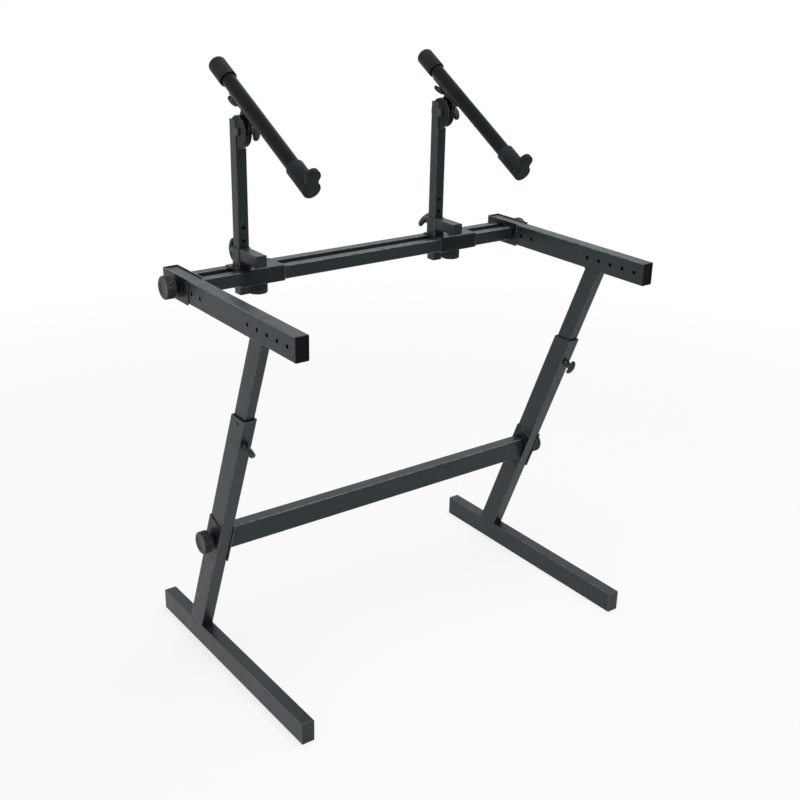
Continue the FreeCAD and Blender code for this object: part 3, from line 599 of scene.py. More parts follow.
# ---- node-built repeats
class Growth(Wiring):
    """A geometry node tree with named sizes, grown on a piece and then made plain mesh."""

    def __init__(self, name: str, sizes: dict[str, float]) -> None:
        """Opens a tree.

        Args:
            name: The tree's name.
            sizes: The tree's named inputs and their values.
        """
        super().__init__(bpy.data.node_groups.new(name, "GeometryNodeTree"))
        self.sizes = sizes
        face = self.tree.interface
        face.new_socket("Geometry", in_out="INPUT", socket_type="NodeSocketGeometry")
        self.keys = {}
        for label, value in sizes.items():
            kind = "NodeSocketInt" if isinstance(value, int) else "NodeSocketFloat"
            self.keys[label] = face.new_socket(label, in_out="INPUT", socket_type=kind).identifier
        face.new_socket("Geometry", in_out="OUTPUT", socket_type="NodeSocketGeometry")
        self.entry = self.tree.nodes.new("NodeGroupInput")
        self.exit = self.tree.nodes.new("NodeGroupOutput")

    def size(self, label: str) -> NodeSocket:
        """The socket of a named size."""
        return self.entry.outputs[label]

    def close(self, geometry: NodeSocket, material: Material) -> None:
        """Ends the tree: real geometry in the right finish.

        Args:
            geometry: What the tree has grown.
            material: Its finish.
        """
        real = self.add("GeometryNodeRealizeInstances", Geometry=geometry)
        dressed = self.add("GeometryNodeSetMaterial", Geometry=real.outputs[0], Material=material)
        self.tree.links.new(dressed.outputs[0], self.exit.inputs["Geometry"])

    def grow_on(self, piece: Object) -> None:
        """Puts the tree on a piece, its sizes set by identifier.

        Args:
            piece: The piece that it grows on.
        """
        modifier = piece.modifiers.new(self.tree.name, "NODES")
        modifier.node_group = self.tree
        for label, value in self.sizes.items():
            modifier[self.keys[label]] = value


def flutes(
    name: str, count: int, depth: float, rim: float, blend: float, material: Material
) -> Growth:
    """A tree that presses flutes into the rim of a turned piece.

    Args:
        name: The tree's name.
        count: Flutes round the rim.
        depth: Their depth, in millimetres.
        rim: The rim's radius, in millimetres.
        blend: How far in from the rim the flutes fade out, in millimetres.
        material: The piece's finish.

    Returns:
        The tree.
    """
    sizes = {"Count": count, "Depth": depth * MM, "Rim": rim * MM, "Blend": blend * MM}
    growth = Growth(name, sizes)
    place = growth.add("GeometryNodeInputPosition").outputs[0]
    parts = growth.add("ShaderNodeSeparateXYZ", Vector=place)
    angle = growth.maths("ARCTAN2", parts.outputs["Y"], parts.outputs["X"])
    wave = growth.maths("COSINE", growth.maths("MULTIPLY", angle, growth.size("Count")))
    hollow = growth.maths("MULTIPLY", growth.maths("ADD", wave, 1.0), 0.5)
    flat = growth.add("ShaderNodeCombineXYZ", X=parts.outputs["X"], Y=parts.outputs["Y"])
    radius = growth.add("ShaderNodeVectorMath", {"operation": "LENGTH"}, Vector=flat.outputs[0])
    inner = growth.maths("SUBTRACT", growth.size("Rim"), growth.size("Blend"))
    reach = growth.spread(radius.outputs["Value"], (inner, growth.size("Rim")), smooth=True)
    press = growth.maths("MULTIPLY", growth.maths("MULTIPLY", hollow, reach), growth.size("Depth"))
    outward = growth.add("ShaderNodeVectorMath", {"operation": "NORMALIZE"}, Vector=flat.outputs[0])
    inward = growth.maths("MULTIPLY", press, -1.0)
    push = growth.add("ShaderNodeVectorMath", {"operation": "SCALE"}, Vector=outward.outputs[0])
    growth.feed(push.inputs["Scale"], inward)
    moved = growth.add("GeometryNodeSetPosition", Geometry=growth.size("Geometry"))
    growth.feed(moved.inputs["Offset"], push.outputs[0])
    growth.close(moved.outputs[0], material)
    return growth


def bead(name: str, width: float, pitch: float, seed: int, material: Material) -> Growth:
    """A tree that lays a rippled weld bead along the edges of a piece.

    Args:
        name: The tree's name.
        width: The bead's radius, in millimetres.
        pitch: The distance from ripple to ripple, in millimetres.
        seed: The seed of the ripples' sizes.
        material: The bead's finish.

    Returns:
        The tree.
    """
    sizes = {"Width": width * MM, "Pitch": pitch * MM, "Seed": seed}
    growth = Growth(name, sizes | dict(zip(("Smallest", "Largest"), BEAD_SWELL)))
    path = growth.add("GeometryNodeMeshToCurve", Mesh=growth.size("Geometry"))
    steps = growth.add("GeometryNodeResampleCurve", {"mode": "LENGTH"}, Curve=path.outputs[0])
    growth.feed(steps.inputs["Length"], growth.size("Pitch"))
    drop = growth.add("GeometryNodeMeshIcoSphere", Radius=growth.size("Width"))
    growth.feed(drop.inputs["Subdivisions"], BEAD_ROUNDING)
    swell = growth.add("FunctionNodeRandomValue", {"data_type": "FLOAT"}, Seed=growth.size("Seed"))
    growth.feed(swell.inputs[2], growth.size("Smallest"))
    growth.feed(swell.inputs[3], growth.size("Largest"))
    laid = growth.add("GeometryNodeInstanceOnPoints", Points=steps.outputs[0])
    growth.feed(laid.inputs["Instance"], drop.outputs["Mesh"])
    growth.feed(laid.inputs["Scale"], swell.outputs[1])
    growth.close(laid.outputs[0], material)
    return growth


def thread(
    name: str, radius: float, pitch: float, length: float, material: Material
) -> Growth:
    """A tree that winds a screw thread up Z.

    Args:
        name: The tree's name.
        radius: The thread's outer radius, in millimetres.
        pitch: The thread's pitch, in millimetres.
        length: The threaded length, in millimetres.
        material: The thread's finish.

    Returns:
        The tree.
    """
    sizes = {"Radius": radius * MM, "Pitch": pitch * MM, "Turns": length / pitch, "Length": length * MM}
    growth = Growth(name, sizes)
    crest = growth.maths("MULTIPLY", growth.size("Pitch"), CREST_SHARE)
    inner = growth.maths("SUBTRACT", growth.size("Radius"), crest)
    coil = growth.add("GeometryNodeCurveSpiral", Resolution=COIL_STEPS, Rotations=growth.size("Turns"))
    growth.feed(coil.inputs["Start Radius"], inner)
    growth.feed(coil.inputs["End Radius"], inner)
    growth.feed(coil.inputs["Height"], growth.size("Length"))
    circle = "GeometryNodeCurvePrimitiveCircle"
    ring = growth.add(circle, {"mode": "RADIUS"}, Resolution=CREST_SIDES, Radius=crest)
    wound = growth.add("GeometryNodeCurveToMesh", Curve=coil.outputs[0], Fill_Caps=True)
    growth.feed(wound.inputs["Profile Curve"], ring.outputs[0])
    growth.close(wound.outputs[0], material)
    return growth


@dataclass
class Fitter:
    """Dresses a part of the stand, with the finishes to hand."""

    stand: Stand
    paint: Paintbox

    @staticmethod
    def hand_over(piece: Object, body: str, slot: Slot, node: Optional[str] = None) -> None:
        """Parents a finished piece to its body and hides the CAD node that it stands for.

        Args:
            piece: The piece.
            body: The body that it rides on.
            slot: Its finish; not used.
            node: The node, if the piece takes its place.
        """
        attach(piece, body)
        if node is not None:
            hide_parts(node)
        LOG.info("%s on %s", piece.name, body)


# ---- knobs and screws
@dataclass(frozen=True)
class ClampKnob:
    """A round moulded knob with a fluted rim, a dished face and a flared hub."""

    radius: float = 25.0
    rim: float = 20.0
    hub: float = 7.0
    hub_radius: float = 13.0
    flute_count: int = 36
    flute_depth: float = 2.3
    flute_blend: float = 2.2
    segments: int = 288
    hub_edge: float = 0.8
    flare: float = 2.0
    foot_round: float = 2.4
    face_round: float = 2.8
    dish_share: float = 0.62
    middle: float = 4.0
    crease: float = 35.0

    def profile(self) -> Profile:
        """The knob's turned outline, from its seat to the middle of its face.

        Returns:
            The outline, in millimetres.
        """
        top = self.hub + self.rim
        foot, head = self.foot_round, self.face_round
        lower = arc((self.radius - foot, self.hub + foot), foot, -90.0, 0.0, 5)
        upper = arc((self.radius - head, top - head), head, 0.0, 90.0, 6)
        wall = self.rim - foot - head
        side = [(self.radius, self.hub + foot + wall * step / 4.0) for step in range(1, 4)]
        dish = self.radius * self.dish_share
        face = [(dish + out, top + rise) for out, rise in DISH_EDGE]
        bed = face[-1][1]
        hub = [(POLE, 0.0), (self.hub_radius - self.hub_edge, 0.0), (self.hub_radius, self.hub_edge)]
        flare = arc((self.hub_radius + self.flare, self.hub - self.flare), self.flare, 180.0, 90.0, 4)
        return hub + flare + lower + side + upper + face + [(self.middle, bed), (POLE, bed)]

    def draw(self, name: str, coat: Material) -> Object:
        """Draws the knob on the origin, its face up.

        Args:
            name: The piece's name.
            coat: Its finish.

        Returns:
            The knob, its flutes not yet made plain mesh.
        """
        piece = new_piece(name, lathe(self.profile(), self.segments), coat)
        pressed = (self.flute_count, self.flute_depth, self.radius, self.flute_blend)
        flutes(name + "_flutes", *pressed, coat).grow_on(piece)
        return piece


@dataclass(frozen=True)
class WingKnob:
    """A moulded wing knob: a tapered hub and a thick crescent whose tips droop towards the seat.

    The hub keeps a small clearance from its seat, so that it never rubs on what slides past.
    """

    hub_radius: float
    hub_length: float
    span: float
    wing_height: float
    thick: float
    droop: float
    clearance: float = 0.15
    edge: float = 0.6
    neck_wall: float = 1.6
    neck_step: float = 0.8
    crown_round: float = 2.0
    crown_rise: float = 0.3
    hub_facets: int = 48
    blade: float = 0.84
    wing_top: float = 0.75
    waist: float = 0.08
    root: float = 1.2
    taper: float = 0.3
    bend: float = 1.8
    blunt: int = 7
    least: float = 0.05
    stations: int = 40
    facets: int = 24
    crease: float = 50.0

    def wing(self) -> BMesh:
        """The wings: a crescent of rounded sections along X.

        Returns:
            The closed shape, in millimetres.
        """
        shape = bmesh.new()
        half_blade = self.wing_height * self.blade / 2.0
        middle = self.hub_length + self.wing_height * self.wing_top - half_blade
        rings = []
        for step in range(self.stations + 1):
            way = -math.cos(math.pi * step / self.stations)
            out = abs(way)
            tip = math.sqrt(max(1.0 - out ** self.blunt, 0.0))
            height_share = 1.0 - self.waist + self.waist * math.cos(math.pi * out)
            half_height = max(half_blade * height_share * tip, self.least)
            half_thick = max(self.thick / 2.0 * (self.root - self.taper * out) * tip, self.least)
            centre = middle - self.droop * out ** self.bend
            ring = []
            for turn in range(self.facets):
                angle = 2.0 * math.pi * turn / self.facets
                across = half_thick * squared(math.cos(angle))
                rise = centre + half_height * squared(math.sin(angle))
                ring.append(shape.verts.new((self.span / 2.0 * way, across, rise)))
            rings.append(ring)
        join_rings(shape, rings)
        return shape

    def boss(self) -> BMesh:
        """The tapered hub with its rounded crown.

        Returns:
            The closed shape, in millimetres.
        """
        crown = self.hub_length + self.wing_height * 0.5
        radius, foot, top = self.hub_radius, self.clearance, self.crown_round
        neck = min(self.thick / 2.0 + self.neck_wall, radius - self.neck_step)
        outline = [(POLE, foot), (radius - self.edge, foot), (radius, foot + self.edge)]
        outline += [(radius - self.neck_step / 2.0, self.hub_length * 0.5)]
        outline += [(neck + self.neck_step, self.hub_length * 0.9)]
        outline += arc((neck - top, crown - top), top, 0.0, 80.0, 4) + [(POLE, crown + self.crown_rise)]
        return lathe(outline, self.hub_facets)

    def draw(self, name: str, coat: Material) -> Object:
        """Draws the wing knob on the origin, its wings up.

        Args:
            name: The piece's name.
            coat: Its finish.

        Returns:
            The knob.
        """
        shape = self.boss()
        merge(shape, self.wing())
        return new_piece(name, shape, coat)


@dataclass
class Knobs(Fitter):
    """Every knob and winged screw of the stand, each turning on its own joint.

    The turns are the photographed ones in degrees, left and right.
    """

    side_knob: ClampKnob = ClampKnob()
    rail_knob: ClampKnob = ClampKnob(radius=22.0)
    leg_wing: WingKnob = WingKnob(7.0, 10.0, 36.0, 14.0, 12.0, 3.0)
    post_wing: WingKnob = WingKnob(9.0, 12.0, 50.0, 18.0, 11.0, 7.0)
    pivot_wing: WingKnob = WingKnob(8.0, 20.0, 46.0, 20.0, 11.0, 5.0)
    tube_wing: WingKnob = WingKnob(6.0, 8.0, 32.0, 12.5, 9.0, 2.0)
    leg_turns: Pair = (-54.0, 80.0)
    post_turns: Pair = (90.0, -32.0)
    pivot_turns: Pair = (-25.0, -45.0)
    tube_turns: Pair = (79.0, 62.0)

    def build(self) -> None:
        """Makes them all."""
        for index, side in enumerate(SIDES):
            for level in ("lower_knob", "rear_knob", "rail_knob"):
                kind = self.rail_knob if level == "rail_knob" else self.side_knob
                self.place(kind, f"{level}_{side}")
            collar_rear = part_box(f"post_collar_{side}")[1].y
            knob_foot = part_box(f"pivot_knob_{side}")[0].x
            self.place(self.leg_wing, f"leg_clamp_screw_{side}", self.leg_turns[index])
            self.place(self.post_wing, f"post_screw_{side}", self.post_turns[index], (1, collar_rear))
            self.place(self.pivot_wing, f"pivot_knob_{side}", self.pivot_turns[index], (0, knob_foot))
            self.place(self.tube_wing, f"tube_screw_{side}", self.tube_turns[index])

    def place(self, kind: ClampKnob | WingKnob, node: str, turn: float = 0.0,
              foot: Optional[tuple[int, float]] = None) -> None:
        """Builds one knob in place of its node, on the seat of its own joint.

        Args:
            kind: The knob's make.
            node: The CAD node it stands for.
            turn: Degrees that it is turned.
            foot: The coordinate of its seat that is set anew, and the value in metres.
        """
        body = node.replace("_clamp", "")
        seat = self.stand.seat(body + "_turn", turn)
        if foot is not None:
            seat = seat.shifted(*foot)
        drawn = kind.draw(node + "_moulding", self.paint.coat(Slot.KNOB))
        self.hand_over(settle(drawn, seat.matrix(), kind.crease), body, Slot.KNOB, node)


# ---- support arms
@dataclass
class SupportArm(Fitter):
    """The rubber ends, the tube and the rosette teeth of a tilting support.

    Stations are along the tube from the pivot, to the rear; the shifts are the left and right tube's.
    """

    side: str
    rise: float = 60.0
    tube_radius: float = 15.0
    tube_rear: float = 134.0
    tube_front: float = -266.0
    rubber_radius: float = 19.0
    cap_front: float = 82.0
    cap_rear: float = 140.0
    sleeve_rear: float = -204.0
    lip_rear: float = -262.0
    lip_front: float = -275.0
    lobe_radius: float = 15.5
    lobe_rise: float = 31.0
    lip_turn: float = -9.0
    lip_round: float = 2.6
    waist_radius: float = 11.0
    sleeve_inset: float = 0.15
    sleeve_overlap: float = 1.0
    bore_gap: float = 0.1
    mouth_depth: float = 0.5
    mouth_rim: float = 1.4
    mouth_round: float = 1.0
    dome: float = 8.0
    dome_top: float = 6.0
    tube_edge: float = 0.5
    tooth_count: int = 44
    tooth_depth: float = 0.9
    tooth_blend: float = 3.0
    tooth_facets: int = 8
    teeth_radius: float = 33.0
    teeth_bore: float = 4.0
    teeth_foot: float = 0.15
    teeth_height: float = 2.8
    teeth_edge: float = 0.6
    shift: Pair = (9.0, -9.0)

    def along(self, station: float) -> Matrix:
        """The place of a turned piece that stands along the tube, at a station from the pivot.

        Args:
            station: Millimetres along the tube, to the rear.

        Returns:
            The matrix that takes Z to the tube's axis.
        """
        shifted = station + self.shift[SIDES.index(self.side)]
        offset = Matrix.Translation(Vector((0.0, shifted, self.rise)) * MM)
        return self.stand.tilt_matrix(self.side) @ offset @ Matrix.Rotation(-math.pi / 2.0, 4, "X")

    def cap(self) -> Object:
        """The rear cap: a rubber cup with a domed end and a rolled mouth.

        Returns:
            The cap.
        """
        length = self.cap_rear - self.cap_front
        radius = self.rubber_radius
        mouth, dome = self.mouth_round, self.dome
        outline = [(POLE, self.mouth_depth), (self.tube_radius + self.bore_gap, self.mouth_depth)]
        outline += [(radius - self.mouth_rim, 0.0)] + arc((radius - mouth, mouth), mouth, -90.0, 0.0, 4)
        outline += [(radius, length * share) for share in WALL_RINGS] + [(radius, length - dome)]
        outline += arc((radius - dome, length - dome), dome, 10.0, 90.0, 8)
        outline += [(self.dome_top, length), (POLE, length)]
        shape = lathe(outline, TURNED_SEGMENTS)
        piece = new_piece(f"tube_cap_{self.side}_rubber", shape, self.paint.coat(Slot.RUBBER))
        return settle(piece, self.along(self.cap_front))

    def stop_outline(self) -> Profile:
        """The lip's outline seen along the tube: two lobes and a smooth waist.

        Returns:
            The outline, in millimetres.
        """
        lower, upper, waist = self.rubber_radius, self.lobe_radius, self.waist_radius
        reach = lower + waist
        other = upper + waist
        height = (reach ** 2 - other ** 2 + self.lobe_rise ** 2) / (2.0 * self.lobe_rise)
        aside = math.sqrt(max(reach ** 2 - height ** 2, 0.0))
        low_angle = math.degrees(math.atan2(height, aside))
        high_angle = math.degrees(math.atan2(height - self.lobe_rise, aside))
        right = arc((0.0, 0.0), lower, -90.0, low_angle, 14)
        right += arc((aside, height), waist, 180.0 + low_angle, 180.0 + high_angle, 6)[1:]
        right += arc((0.0, self.lobe_rise), upper, high_angle, 90.0, 14)[1:]
        left = [(-x, y) for x, y in reversed(right[1:-1])]
        return right + left

    def stop(self) -> Object:
        """The front stop: a rubber sleeve that ends in the two-lobed lip.

        Returns:
            The stop.
        """
        shape = bmesh.new()
        depth = self.lip_rear - self.lip_front
        outline = self.stop_outline()
        rings = []
        for station in (0.0, depth):
            rings.append([shape.verts.new((x, y, station)) for x, y in outline])
        join_rings(shape, rings)
        sleeve_length = self.sleeve_rear - self.lip_front
        radius = self.rubber_radius
        wall, start, mouth = radius - self.sleeve_inset, depth - self.sleeve_overlap, self.mouth_round
        profile = [(POLE, start), (wall, start), (wall, sleeve_length * WALL_RINGS[1])]
        profile += arc((radius - mouth, sleeve_length - mouth), mouth, 0.0, 90.0, 4)
        end = sleeve_length - self.mouth_depth
        profile += [(self.tube_radius + self.bore_gap, end), (POLE, end)]
        merge(shape, lathe(profile, TURNED_SEGMENTS))
        piece = new_piece(f"end_stop_{self.side}_rubber", shape, self.paint.coat(Slot.RUBBER))
        bevel = piece.modifiers.new("rounding", "BEVEL")
        bevel.width = self.lip_round * MM
        bevel.segments = 4
        bevel.limit_method = "ANGLE"
        bevel.angle_limit = math.radians(SOFTENED_ANGLE)
        bevel.use_clamp_overlap = True
        leaned = Matrix.Rotation(math.radians(self.lip_turn), 4, "Z")
        upright = Matrix.Rotation(math.pi, 4, "Z") @ leaned
        return settle(piece, self.along(self.lip_front) @ upright, crease=40.0)

    def tube(self) -> Object:
        """The support tube, with smooth round walls.

        Returns:
            The tube.
        """
        length = self.tube_rear - self.tube_front
        radius, edge = self.tube_radius, self.tube_edge
        outline = [(POLE, 0.0), (radius - edge, 0.0), (radius, edge)]
        outline += [(radius, length * step / 6.0) for step in range(1, 6)]
        outline += [(radius, length - edge), (radius - edge, length), (POLE, length)]
        coat = self.paint.coat(Slot.TUBE, Edges.NONE)
        piece = new_piece(f"support_tube_{self.side}_steel", lathe(outline, TUBE_SEGMENTS), coat)
        return settle(piece, self.along(self.tube_front))

    def teeth(self, rear: bool) -> Object:
        """The serrated rim of one rosette, where the two discs meet.

        Args:
            rear: True for the disc on the post, false for the disc on the arm.

        Returns:
            The ring of teeth.
        """
        radius, bore, foot = self.teeth_radius, self.teeth_bore, self.teeth_foot
        edge, height = self.teeth_edge, self.teeth_height
        ring = [(bore, foot), (radius - edge, foot), (radius, edge)]
        ring += [(radius, height - edge), (radius - edge, height), (bore, height)]
        name = f"rosette_teeth_{'post' if rear else 'arm'}_{self.side}"
        coat = self.paint.coat(Slot.ROSETTE, Edges.NONE)
        piece = new_piece(name, lathe(ring, self.tooth_count * self.tooth_facets), coat)
        flutes(name, self.tooth_count, self.tooth_depth, radius, self.tooth_blend, coat).grow_on(piece)
        pivot = self.stand.seat(f"arm_{self.side}_tilt")
        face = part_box(f"post_rosette_{self.side}")[1].x
        point = Vector((face, pivot.point.y, pivot.point.z))
        axis = Vector((-1.0 if rear else 1.0, 0.0, 0.0))
        return settle(piece, Seat(point, axis).matrix())

    def build(self) -> None:
        """Makes the arm's pieces."""
        body = f"support_{self.side}"
        for piece, node, slot in (
            (self.tube(), f"support_tube_{self.side}", Slot.TUBE),
            (self.cap(), f"tube_cap_{self.side}", Slot.RUBBER),
            (self.stop(), f"end_stop_{self.side}", Slot.RUBBER),
        ):
            self.hand_over(piece, body, slot, node)
        for rear, owner in ((True, f"post_{self.side}"), (False, f"arm_{self.side}")):
            self.hand_over(self.teeth(rear), owner, Slot.ROSETTE)


# ---- welds and threads
@dataclass
class Welds(Fitter):
    """The weld beads where tubes and plates meet, each a path round its seam."""

    radius: float = 1.9
    pitch: float = 1.5
    inset: float = 2.5
    inner_leg_depth: float = 42.0
    sink: float = 0.4
    end_inset: float = 0.6
    saddle_inset: float = 1.0
    collar_rise: float = 0.3

    @staticmethod
    def level_box(x: Pair, y: Pair, z: float) -> list[Vector]:
        """A level path round a rectangle, in millimetres."""
        return [Vector((x[i], y[j], z)) for i, j in CORNERS]

    @staticmethod
    def upright_box(x: float, y: Pair, z: Pair) -> list[Vector]:
        """A path round a rectangle square to X, in millimetres."""
        return [Vector((x, y[i], z[j])) for i, j in CORNERS]

    def lay(self, name: str, path: Sequence[Vector], closed: bool, body: str) -> None:
        """Lays one bead.

        Args:
            name: The bead's name.
            path: Its corners, in millimetres.
            closed: True to come back to the first corner.
            body: The body that it rides on.
        """
        shape = bmesh.new()
        corners = [shape.verts.new(point) for point in path]
        for first, second in zip(corners, corners[1:]):
            shape.edges.new((first, second))
        if closed:
            shape.edges.new((corners[-1], corners[0]))
        coat = self.paint.coat(Slot.FRAME, Edges.NONE)
        piece = new_piece(name, shape, coat)
        bead(name, self.radius, self.pitch, len(name), coat).grow_on(piece)
        self.hand_over(settle(piece, Matrix.Identity(4), crease=60.0), body, Slot.FRAME)

    @staticmethod
    def corners(node: str) -> tuple[Vector, Vector]:
        """The lowest and highest corner of a node, in millimetres."""
        low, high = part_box(node)
        return low / MM, high / MM

    def build(self) -> None:
        """Lays every bead."""
        slope = self.stand.joints["frame_height"]["axis"]
        lean = -slope[1] / slope[2]
        for side, sign in (("left", -1.0), ("right", 1.0)):
            foot_top = self.corners(f"foot_{side}")[1].z
            leg_low, leg_high = self.corners(f"outer_leg_{side}")
            front = leg_low.y + (leg_high.z - leg_low.z) * lean
            inner = (leg_low.x + self.inset, leg_high.x - self.inset)
            for label, y in (("front", front), ("rear", leg_high.y)):
                path = [Vector((x, y, foot_top)) for x in inner]
                self.lay(f"leg_weld_{label}_{side}", path, False, "lower_frame")
            for tube in CROSSWISE_TUBES:
                low, high = self.corners(tube)
                end = (high.x if sign > 0 else low.x) - sign * self.end_inset
                path = self.upright_box(end, (low.y, high.y), (low.z, high.z))
                body = "lower_frame" if tube == "lower_crossbar" else "upper_frame"
                self.lay(f"{tube.removeprefix('lower_')}_weld_{side}", path, True, body)
            low, high = self.corners(f"inner_leg_{side}")
            leg_depth = self.inner_leg_depth / slope[2]
            path = self.level_box((low.x, high.x), (low.y, low.y + leg_depth), high.z - self.sink)
            self.lay(f"arm_weld_{side}", path, True, "upper_frame")
            low, high = self.corners(f"post_collar_{side}")
            half = (high.x - low.x) / 2.0
            saddle = self.corners(f"rail_clamp_{side}")[0].x + self.saddle_inset
            left = max(low.x, saddle)
            y_mid = self.stand.joints[f"rail_knob_{side}_turn"]["pos_m"][1] / MM
            level = low.z + self.collar_rise
            path = self.level_box((left, high.x), (y_mid - half, y_mid + half), level)
            self.lay(f"collar_weld_{side}", path, True, f"tier_clamp_{side}")


@dataclass
class Threads(Fitter):
    """The screw threads that show: above the saddles' nuts and inside the brackets."""

    radius: float = 5.0
    pitch: float = 1.5
    tip: float = 3.0
    proud: float = 0.15
    runout: float = 0.3
    core_radius: float = 4.0
    core_height: float = 0.4
    core_facets: int = 12

    def build(self) -> None:
        """Winds a thread on each stud's tip."""
        core = [(POLE, 0.0), (self.core_radius, 0.0), (self.core_radius, self.core_height)]
        core += [(POLE, self.core_height)]
        coat = self.paint.coat(Slot.HARDWARE)
        for side in SIDES:
            for level in ("lower", "rear", "rail"):
                body = f"{level}_knob_{side}"
                seat = self.stand.seat(f"{body}_turn")
                low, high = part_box(f"{level}_bolt_{side}")
                start = -seat.axis
                reach = max((corner - seat.point).dot(start) for corner in (low, high))
                point = seat.point + start * (reach - self.tip * MM)
                name = f"{level}_stud_thread_{side}"
                piece = new_piece(name, lathe(core, self.core_facets), coat)
                crest, length = self.radius + self.proud, self.tip - self.runout
                thread(name, crest, self.pitch, length, coat).grow_on(piece)
                settle(piece, Seat(point, start).matrix(), crease=60.0)
                self.hand_over(piece, body, Slot.HARDWARE)


# ---- studio
@dataclass(frozen=True)
class Softbox:
    """A square soft light that looks at a point and isn't mirrored in the coats."""

    name: str
    place: Triple
    aim: Triple
    size: float
    power: float

    def build(self) -> None:
        """Hangs the light."""
        lamp = bpy.data.lights.new(self.name, "AREA")
        lamp.shape = "SQUARE"
        lamp.size = self.size
        lamp.energy = self.power
        holder = placed(self.name, lamp)
        holder.location = self.place
        sight = Vector(self.aim) - Vector(self.place)
        holder.rotation_euler = sight.to_track_quat("-Z", "Y").to_euler()
        holder.visible_glossy = False


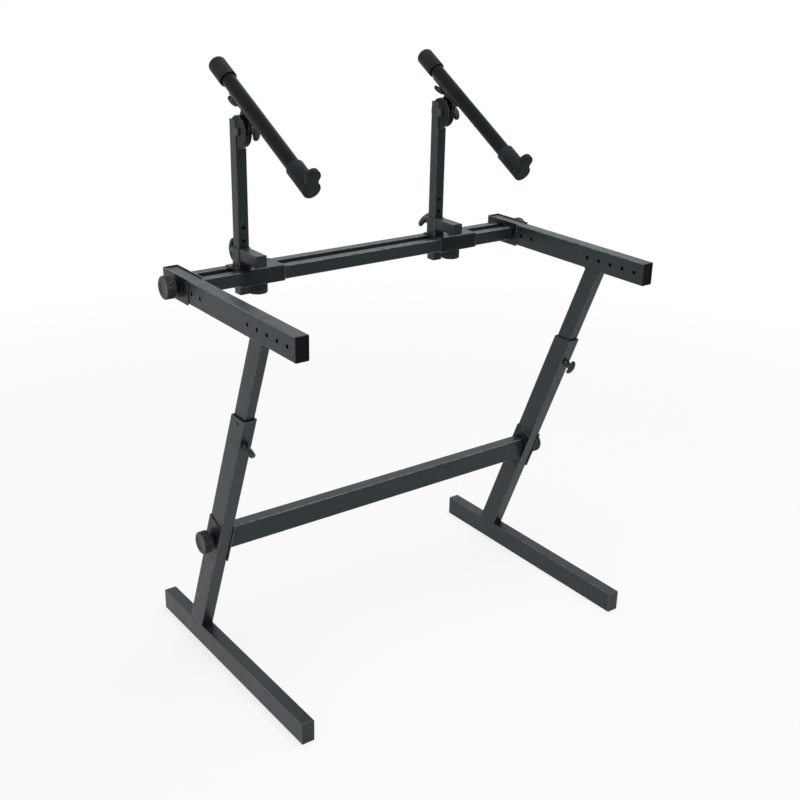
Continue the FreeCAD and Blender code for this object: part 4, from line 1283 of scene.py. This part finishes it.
@dataclass
class Studio:
    """The pale floor, the soft lights and the camera."""

    camera_place: Triple = (-1.4703, -1.9828, 1.5639)
    yaw: float = 36.71
    pitch: float = 22.32
    roll: float = 1.295
    focal_pixels: float = 1175.4
    far: float = 200.0
    floor_size: float = 80.0
    floor_tone: float = 0.80
    floor_roughness: float = 0.9
    floor_specular: float = 0.1
    floor_glow: float = 0.78
    glow_reach: Pair = (0.9, 3.0)
    paper_front: Pair = (-2.0, -0.3)
    front_glow: float = 0.05
    ceiling: Pair = (0.5, 0.9)
    ceiling_glow: float = 0.25
    dark_side: Pair = (-0.7, 0.15)
    dark_glow: float = 0.05
    sky_light: float = 0.2
    lights: tuple[Softbox, ...] = (
        Softbox("overhead_softbox", (0.2, -0.2, 3.4), (0.0, 0.0, 0.6), 3.0, 130.0),
        Softbox("left_softbox", (-3.4, -0.8, 1.6), (0.0, 0.0, 0.6), 2.2, 8.0),
        Softbox("front_softbox", (0.6, -3.8, 1.8), (0.0, 0.0, 0.6), 2.2, 8.0),
    )

    def camera(self) -> None:
        """Sets the camera at the photograph's place and angle."""
        basis = Matrix.Identity(4)
        for angle, axis in ((-self.yaw, "Z"), (90.0 - self.pitch, "X"), (self.roll, "Z")):
            basis = basis @ Matrix.Rotation(math.radians(angle), 4, axis)
        lens = bpy.data.cameras.new("photo_camera")
        lens.sensor_width = SENSOR_WIDTH
        lens.lens = self.focal_pixels / PHOTO_WIDTH * SENSOR_WIDTH
        lens.clip_end = self.far
        holder = placed("photo_camera", lens)
        holder.matrix_world = Matrix.Translation(self.camera_place) @ basis
        bpy.context.scene.camera = holder

    @staticmethod
    def seen_white(web: Wiring, mirrored: NodeSocket) -> NodeSocket:
        """How white the studio is: wholly to the camera, by a share in reflections, not at all as light.

        Args:
            web: The material's nodes.
            mirrored: How bright a glossy or see-through ray finds it.

        Returns:
            The whiteness.
        """
        rays = web.add("ShaderNodeLightPath").outputs
        either = web.maths("MAXIMUM", rays["Is Glossy Ray"], rays["Is Transmission Ray"])
        return web.maths("MAXIMUM", rays["Is Camera Ray"], web.maths("MULTIPLY", either, mirrored))

    def floor(self) -> None:
        """Lays the pale floor, which keeps the stand's soft shadow and mirrors less towards the front."""
        shape = bmesh.new()
        ends = (-self.floor_size / 2.0, self.floor_size / 2.0)
        shape.faces.new([shape.verts.new((ends[i], ends[j], 0.0)) for i, j in CORNERS])
        mesh = bpy.data.meshes.new("studio_floor")
        shape.to_mesh(mesh)
        shape.free()
        floor = placed("studio_floor", mesh)
        material = bpy.data.materials.new("studio_paper")
        material.use_nodes = True
        web = Wiring(material.node_tree)
        paper = web.tree.nodes["Principled BSDF"]
        web.feed(paper.inputs["Base Color"], (self.floor_tone, self.floor_tone, self.floor_tone, 1.0))
        web.feed(paper.inputs["Roughness"], self.floor_roughness)
        web.feed(paper.inputs["Specular IOR Level"], self.floor_specular)
        place = web.add("ShaderNodeTexCoord").outputs["Object"]
        reach = web.add("ShaderNodeVectorMath", {"operation": "LENGTH"}, Vector=place)
        wide = web.spread(reach.outputs["Value"], self.glow_reach, (self.floor_glow, 1.0), smooth=True)
        parts = web.add("ShaderNodeSeparateXYZ", Vector=place)
        front = web.spread(parts.outputs["Y"], self.paper_front, (self.front_glow, 1.0), smooth=True)
        white = web.maths("MULTIPLY", self.seen_white(web, front), wide)
        blend = web.add("ShaderNodeMixShader", Fac=white)
        web.feed(blend.inputs[1], paper.outputs[0])
        web.feed(blend.inputs[2], web.add("ShaderNodeEmission", Color=WHITE).outputs[0])
        web.feed(web.tree.nodes["Material Output"].inputs["Surface"], blend.outputs[0])
        mesh.materials.append(material)

    def sky(self) -> None:
        """A plain pale surround: white where it is seen, softer as light, dimmer overhead and in front."""
        world = bpy.data.worlds.new("studio_surround")
        bpy.context.scene.world = world
        world.use_nodes = True
        web = Wiring(world.node_tree)
        place = web.add("ShaderNodeTexCoord").outputs["Generated"]
        parts = web.add("ShaderNodeSeparateXYZ", Vector=place)
        high = web.spread(parts.outputs["Z"], self.ceiling, (1.0, self.ceiling_glow), smooth=True)
        front = web.spread(parts.outputs["Y"], self.dark_side, (self.dark_glow, 1.0), smooth=True)
        white = self.seen_white(web, web.maths("MULTIPLY", high, front))
        ground = web.tree.nodes["Background"]
        web.feed(ground.inputs["Color"], WHITE)
        web.feed(ground.inputs["Strength"], web.spread(white, (0.0, 1.0), (self.sky_light, 1.0)))

    def build(self) -> None:
        """Sets the whole studio."""
        self.camera()
        self.floor()
        self.sky()
        for light in self.lights:
            light.build()
        bpy.context.scene.view_settings.view_transform = "Standard"
        LOG.info("studio set")


def main() -> None:
    """Dresses the stand and sets the studio."""
    logging.basicConfig(level=logging.INFO, format="%(message)s")
    stand = Stand(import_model())
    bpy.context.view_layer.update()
    paint = Paintbox(FINISHES)
    paint.dress_nodes(stand.frame)
    Knobs(stand, paint).build()
    for side in SIDES:
        SupportArm(stand, paint, side).build()
    Welds(stand, paint).build()
    Threads(stand, paint).build()
    Studio().build()


if __name__ == "__main__":
    main()
